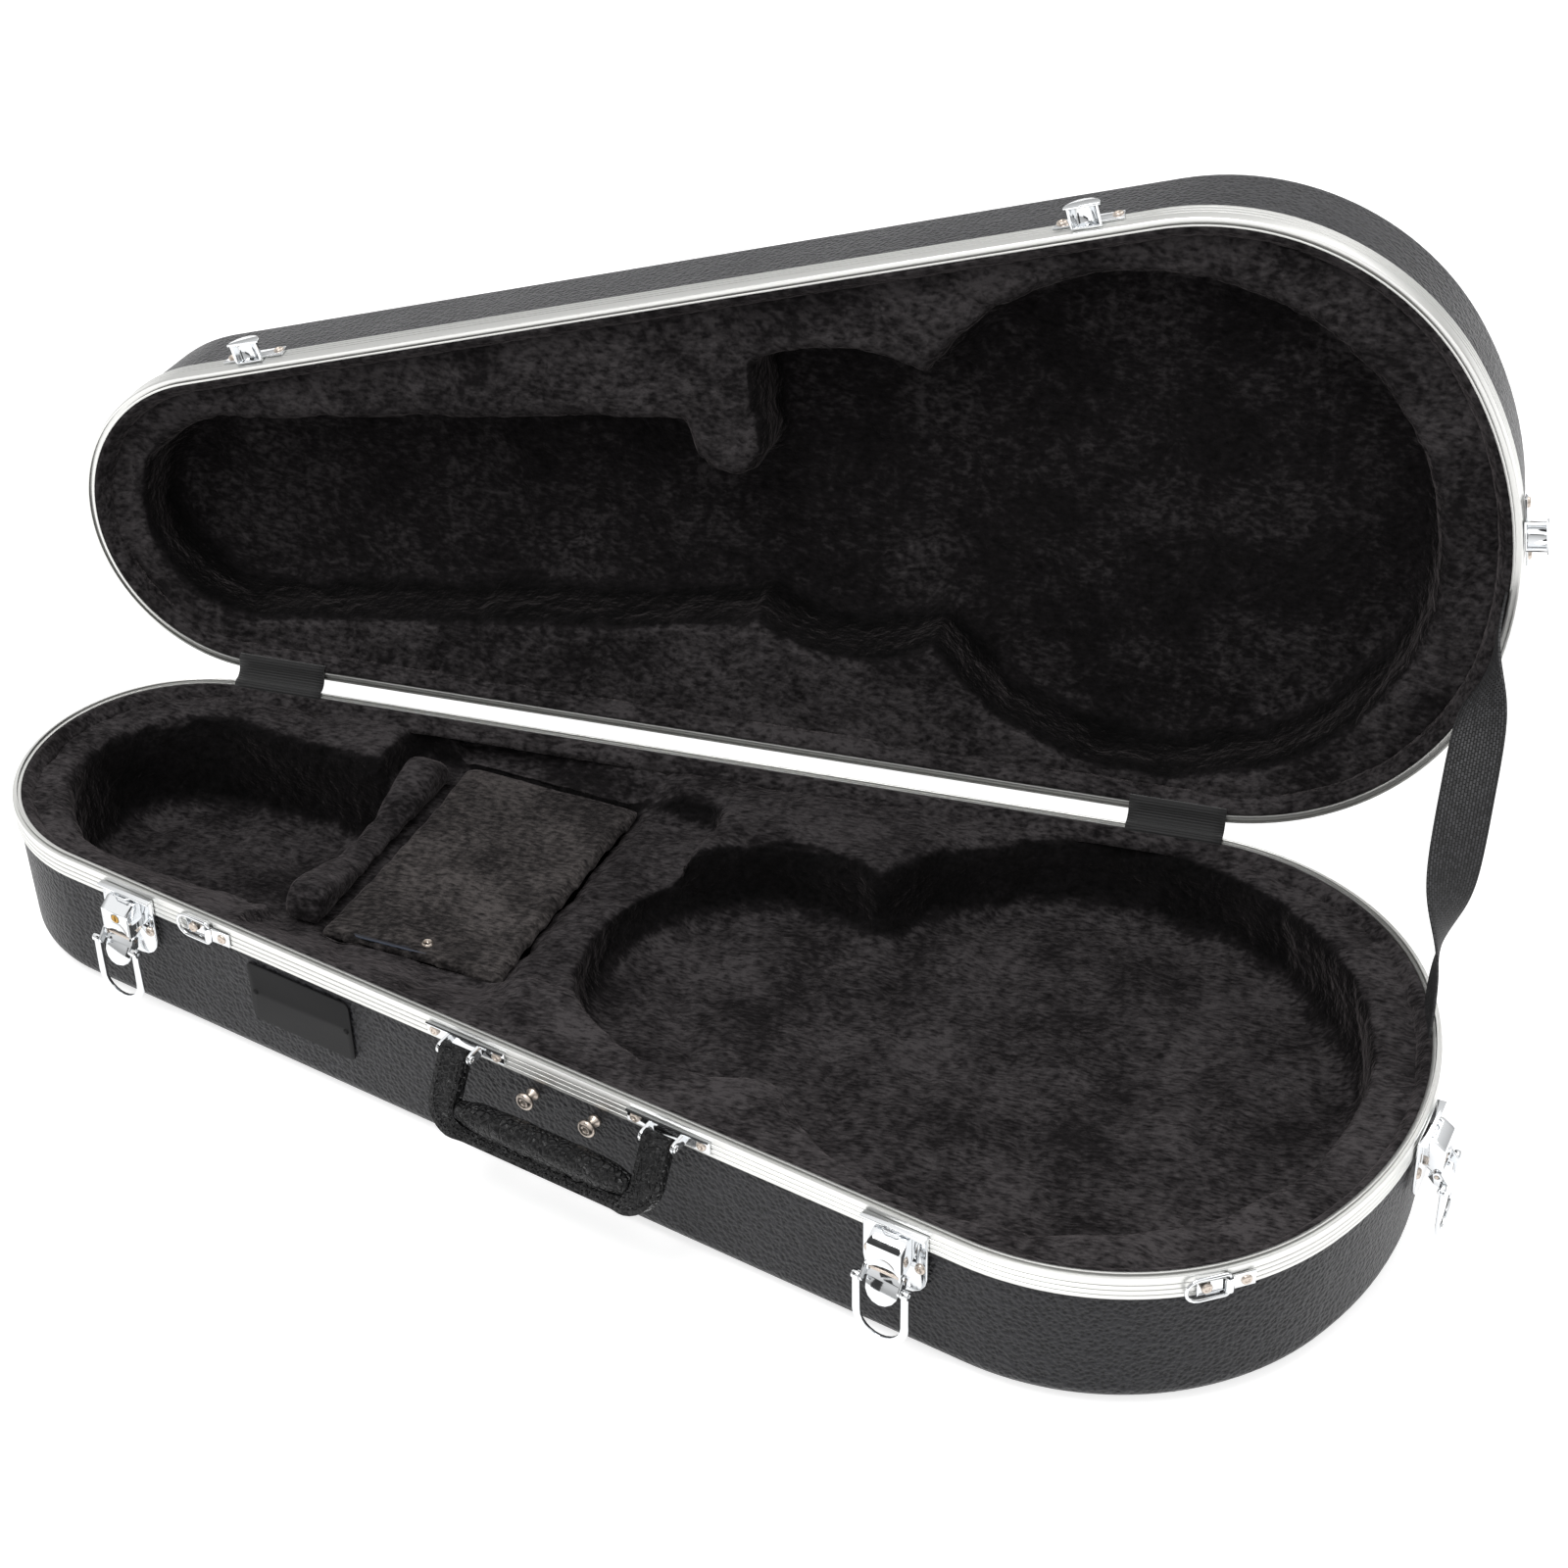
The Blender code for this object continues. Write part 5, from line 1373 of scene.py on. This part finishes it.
@dataclass
class Webbing:
    """Grosgrain tapes over the hinges and the strap that stays the lid."""

    hinge_x: Point = (18.5, 524.0)
    tape_width: float = 51.0
    tape_thick: float = 0.7
    tape_path: tuple[Point, ...] = ((-6.7, -3.4), (-6.1, -1.2), (-5.4, 0.9), (-3.6, 2.1), (-1.0, 2.5), (1.6, 4.4),
                                    (2.9, 7.4), (3.2, 10.4), (3.8, 12.6), (6.2, 13.6))
    strap_width: float = 26.0
    strap_thick: float = 1.2
    strap_in: float = 6.4
    ease: float = 170.0
    twist: float = 1.2
    foot_deg: float = 11.7
    foot_z: float = -3.0
    top_deg: float = 3.7
    top_z: float = 5.3
    fold: Spot = (0.87, 0.42, 0.25)

    def rim_spot(self, angle: float, z: float) -> Vector:
        """World point just inside the big end's rim, the angle being the world's."""
        reach = PLAN.end_r - self.strap_in
        turned = angle + PLAN.taper
        return PLAN.spot(PLAN.end_u + reach * math.cos(turned), reach * math.sin(turned), z)

    def tapes(self) -> None:
        """A wide tape over each hinge, from the base's lining to the lid's."""
        width = self.tape_width * MM
        for i, x in enumerate(self.hinge_x, 1):
            spots = [Vector((x - PLAN.middle.x, y + PLAN.middle.y, z + PLAN.depth)) * MM for y, z in self.tape_path]
            line = eased(spots, 4)
            along_hinge = Vector((1, 0, 0))
            tape = ribbon(f"hinge_cover_{i}", [(spot, along_hinge) for spot in line], width, self.tape_thick * MM)
            wear(tape, Surface.TAPE)
            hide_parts(f"hinge_tape_{i}")
            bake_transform(tape)

    def strap(self) -> None:
        """The stay: slack webbing with half a twist from the lid's rim to the base's."""
        turn = LID.matrix
        foot = self.rim_spot(math.radians(self.foot_deg), self.foot_z)
        top = turn @ self.rim_spot(math.radians(self.top_deg), self.top_z)
        arrive = Vector((0, 0, -self.ease * MM))
        leave = turn.to_3x3() @ arrive
        a, b = math.radians(self.top_deg), math.radians(self.foot_deg)
        side_top = (turn.to_3x3() @ Vector((-math.sin(a), math.cos(a), 0.0))) * -1.0
        side_foot = Vector((-math.sin(b), math.cos(b), 0.0))
        path, steps = [], 72
        for i in range(steps + 1):
            s = i / steps
            spot = (top * (2 * s ** 3 - 3 * s ** 2 + 1) + leave * (s ** 3 - 2 * s ** 2 + s)
                    + foot * (3 * s ** 2 - 2 * s ** 3) + arrive * (s ** 3 - s ** 2))
            along = (top * (6 * s ** 2 - 6 * s) + leave * (3 * s ** 2 - 4 * s + 1)
                     + foot * (6 * s - 6 * s ** 2) + arrive * (3 * s ** 2 - 2 * s)).normalized()
            side = side_top.lerp(side_foot, s) + Vector((self.twist * math.sin(math.pi * s) ** 4, 0, 0))
            path.append((spot, (side - along * side.dot(along)).normalized()))
        width, long = self.strap_width * MM, length_of([spot for spot, _ in path])
        LOG.info("strap %.4f m long", long)
        strap = ribbon("lid_stay", path, width, self.strap_thick * MM)
        wear(strap, Surface.STRAP)
        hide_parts("stay_strap")
        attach(strap, "base")
        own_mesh(strap)

    def build(self) -> None:
        """Builds the woven pieces."""
        self.tapes()
        self.strap()
        LOG.info("webbing")


# Small plain pieces

def plate_and_tab() -> None:
    """The bare front plate with broken edges, and the flap's leather tab with its rivet."""
    plate = piece("front_plate_face", broken(merged("front_plate"), 0.6), None, 30.0)
    fitted(plate, Surface.PLATE, "base", "front_plate")
    tab = piece("tab_leather", broken(merged("pull_tab"), 0.25), None, 30.0)
    fitted(tab, Surface.TAB, "compartment", "pull_tab")
    tab.data.materials.append(Surface.TAB_EDGE.value.material())
    for face in tab.data.polygons:
        if abs(face.normal.z) < 0.9:
            face.material_index = 1
    bm = bmesh.new()
    place = Matrix.Translation(PLAN.spot(181.0, -54.5, -20.6)) @ Matrix.Rotation(-math.pi / 2, 4, "X")
    round_head(bm, place, 3.3, 1.9, True)
    fitted(piece("tab_rivet_head", bm, None, 45.0), Surface.RIVET, "compartment", "tab_rivet")


# Everything that keeps its CAD shape

NODE_FINISHES = {
    Surface.CHROME: ("hinge_base_leaf", "hinge_lid_leaf", "latch_plate", "latch_cover", "latch_lever", "latch_bail",
                     "lid_catch", "handle_bracket", "ring_clip", "strap_ring", "shell_stud"),
    Surface.RIVET: ("hinge_pin", "latch_pin", "handle_pin", "tab_rivet"),
    Surface.BRASS: ("lock_barrel",), Surface.TAPE: ("hinge_tape",), Surface.STRAP: ("stay_strap",),
    Surface.HANDLE: ("handle_loop", "handle_grip"), Surface.PLATE: ("front_plate",), Surface.TAB: ("pull_tab",),
    Surface.SHELL: ("base_shell", "lid_shell"), Surface.RIM: ("base_valance", "lid_valance"),
    Surface.PLUSH: ("base_padding", "lid_padding", "neck_cradle"), Surface.FLAP_PLUSH: ("compartment_lid",),
}


def dress_nodes(names: list[str]) -> None:
    """Gives every CAD node its finish.

    Args:
        names: The nodes' names.
    """
    kinds = {kind: surface for surface, held in NODE_FINISHES.items() for kind in held}
    for name in names:
        wear(bpy.data.objects[name], kinds.get(name) or kinds[name.rsplit("_", 1)[0]])


# Studio

@dataclass
class Studio:
    """White sweep, soft lamps, dark flags beside the camera and the camera itself."""

    camera_at: Spot = (0.4177, -1.1566, 1.0788)
    camera_turn: Spot = (0.9417, 0.01298, 0.28503)
    lens: float = 72.77
    sky: float = 0.85
    floor_glow: float = 0.72

    def camera(self) -> None:
        """The photograph's viewpoint."""
        data = bpy.data.cameras.new("camera")
        data.lens, data.sensor_width = self.lens, 36.0
        data.clip_start, data.clip_end = 0.05, 60.0
        made = bpy.data.objects.new("camera", data)
        made.location, made.rotation_euler = self.camera_at, self.camera_turn
        bpy.context.collection.objects.link(made)
        bpy.context.scene.camera = made

    def floor(self) -> None:
        """A floor, white to the camera and to mirrors and grey to the rest, that keeps the case's shadow."""
        bm = bmesh.new()
        bmesh.ops.create_grid(bm, x_segments=1, y_segments=1, size=12.0)
        made = piece("floor", bm, None, 180.0)
        sweep = bpy.data.materials.new("white_floor")
        sweep.use_nodes = True
        tree = sweep.node_tree
        tree.nodes.clear()
        ray = add_node(tree, "ShaderNodeLightPath").outputs
        seen = ray["Is Camera Ray"]
        for kind in ("Is Glossy Ray", "Is Transmission Ray"):
            seen = add_node(tree, "ShaderNodeMath", {"operation": "MAXIMUM"}, {0: seen, 1: ray[kind]}).outputs[0]
        glow = {"Color": linear("#ffffff"), "Strength": self.floor_glow}
        white = add_node(tree, "ShaderNodeEmission", glow).outputs[0]
        paint = add_node(tree, "ShaderNodeBsdfDiffuse", {"Color": (0.55, 0.55, 0.55, 1.0)}).outputs[0]
        both = add_node(tree, "ShaderNodeAddShader", links={0: white, 1: paint}).outputs[0]
        plain = add_node(tree, "ShaderNodeBsdfDiffuse", {"Color": (0.5, 0.5, 0.5, 1.0)}).outputs[0]
        mixed = add_node(tree, "ShaderNodeMixShader", links={"Fac": seen, 1: plain, 2: both}).outputs[0]
        add_node(tree, "ShaderNodeOutputMaterial", links={"Surface": mixed})
        made.data.materials.append(sweep)

    def world(self) -> None:
        """A white sky, brightest overhead, plain white to the camera."""
        world = bpy.data.worlds.new("sky")
        world.use_nodes = True
        tree = world.node_tree
        tree.nodes.clear()
        ray = add_node(tree, "ShaderNodeLightPath").outputs
        white = add_node(tree, "ShaderNodeBackground", {"Color": linear("#ffffff"), "Strength": 1.0}).outputs[0]
        way = add_node(tree, "ShaderNodeTexCoord").outputs["Generated"]
        height = add_node(tree, "ShaderNodeSeparateXYZ", links={"Vector": way}).outputs["Z"]
        settings = {"From Min": 0.0, "From Max": 0.9, "To Min": 0.5 * self.sky, "To Max": 1.35 * self.sky}
        level = add_node(tree, "ShaderNodeMapRange", settings, {"Value": height}).outputs["Result"]
        soft = add_node(tree, "ShaderNodeBackground", {"Color": linear("#ffffff")}, {"Strength": level}).outputs[0]
        mixed = add_node(tree, "ShaderNodeMixShader", links={"Fac": ray["Is Camera Ray"], 1: soft, 2: white}).outputs[0]
        add_node(tree, "ShaderNodeOutputWorld", links={"Surface": mixed})
        bpy.context.scene.world = world

    def lamp(self, name: str, at: Spot, size: float, watts: float) -> None:
        """A square soft lamp aimed at the case.

        Args:
            name: The lamp's name.
            at: Where it hangs, in metres.
            size: Its side.
            watts: Its power.
        """
        data = bpy.data.lights.new(name, "AREA")
        data.size, data.energy = size, watts
        made = bpy.data.objects.new(name, data)
        made.location = at
        made.rotation_euler = (Vector((0.0, 0.0, 0.15)) - Vector(at)).to_track_quat("-Z", "Y").to_euler()
        bpy.context.collection.objects.link(made)

    def flag(self, name: str, at: Spot, size: Point) -> None:
        """A black card that only mirrors see, to give chrome its dark edges.

        Args:
            name: The card's name.
            at: Its centre, in metres.
            size: Width and height.
        """
        bm = bmesh.new()
        bmesh.ops.create_grid(bm, x_segments=1, y_segments=1, size=0.5)
        aim = (Vector((0.0, -0.1, 0.1)) - Vector(at)).to_track_quat("Z", "Y").to_matrix().to_4x4()
        made = piece(name, bm, Matrix.Translation(at) @ aim @ Matrix.Diagonal((*size, 1.0, 1.0)), 180.0)
        card = bpy.data.materials.get("black_card") or bpy.data.materials.new("black_card")
        card.use_nodes = True
        card.node_tree.nodes["Principled BSDF"].inputs["Base Color"].default_value = (0.01, 0.01, 0.01, 1.0)
        made.data.materials.append(card)
        made.visible_camera = made.visible_diffuse = made.visible_shadow = made.visible_transmission = False

    def build(self) -> None:
        """Sets the whole studio up."""
        bpy.context.scene.view_settings.view_transform = "Standard"
        self.camera()
        self.world()
        self.floor()
        self.lamp("key", (-0.5, -0.7, 2.2), 1.0, 20.0)
        self.lamp("rim_light", (0.9, 1.2, 1.8), 1.4, 10.0)
        self.flag("flag_left", (-1.6, -1.9, 0.6), (0.5, 1.4))
        self.flag("flag_right", (1.8, -1.0, 0.7), (0.5, 1.4))
        self.flag("flag_low", (0.2, -2.4, 0.25), (1.6, 0.3))
        self.flag("flag_top", (-1.05, -0.95, 1.45), (1.3, 1.0))


def main() -> None:
    """Builds the studio and every piece."""
    logging.basicConfig(level=logging.INFO, format="%(name)s: %(message)s")
    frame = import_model()
    Studio().build()
    dress_nodes(sorted(frame["nodes"]))
    holders = {empty.name: body for body, empty in frame["bodies"].items()}
    bodies = {name: holders[node.parent.name] for name, node in sorted(frame["nodes"].items())}
    Shells().build()
    Linings().build()
    Fittings().build(bodies)
    Handle().build()
    Webbing().build()
    plate_and_tab()


if __name__ == "__main__":
    main()
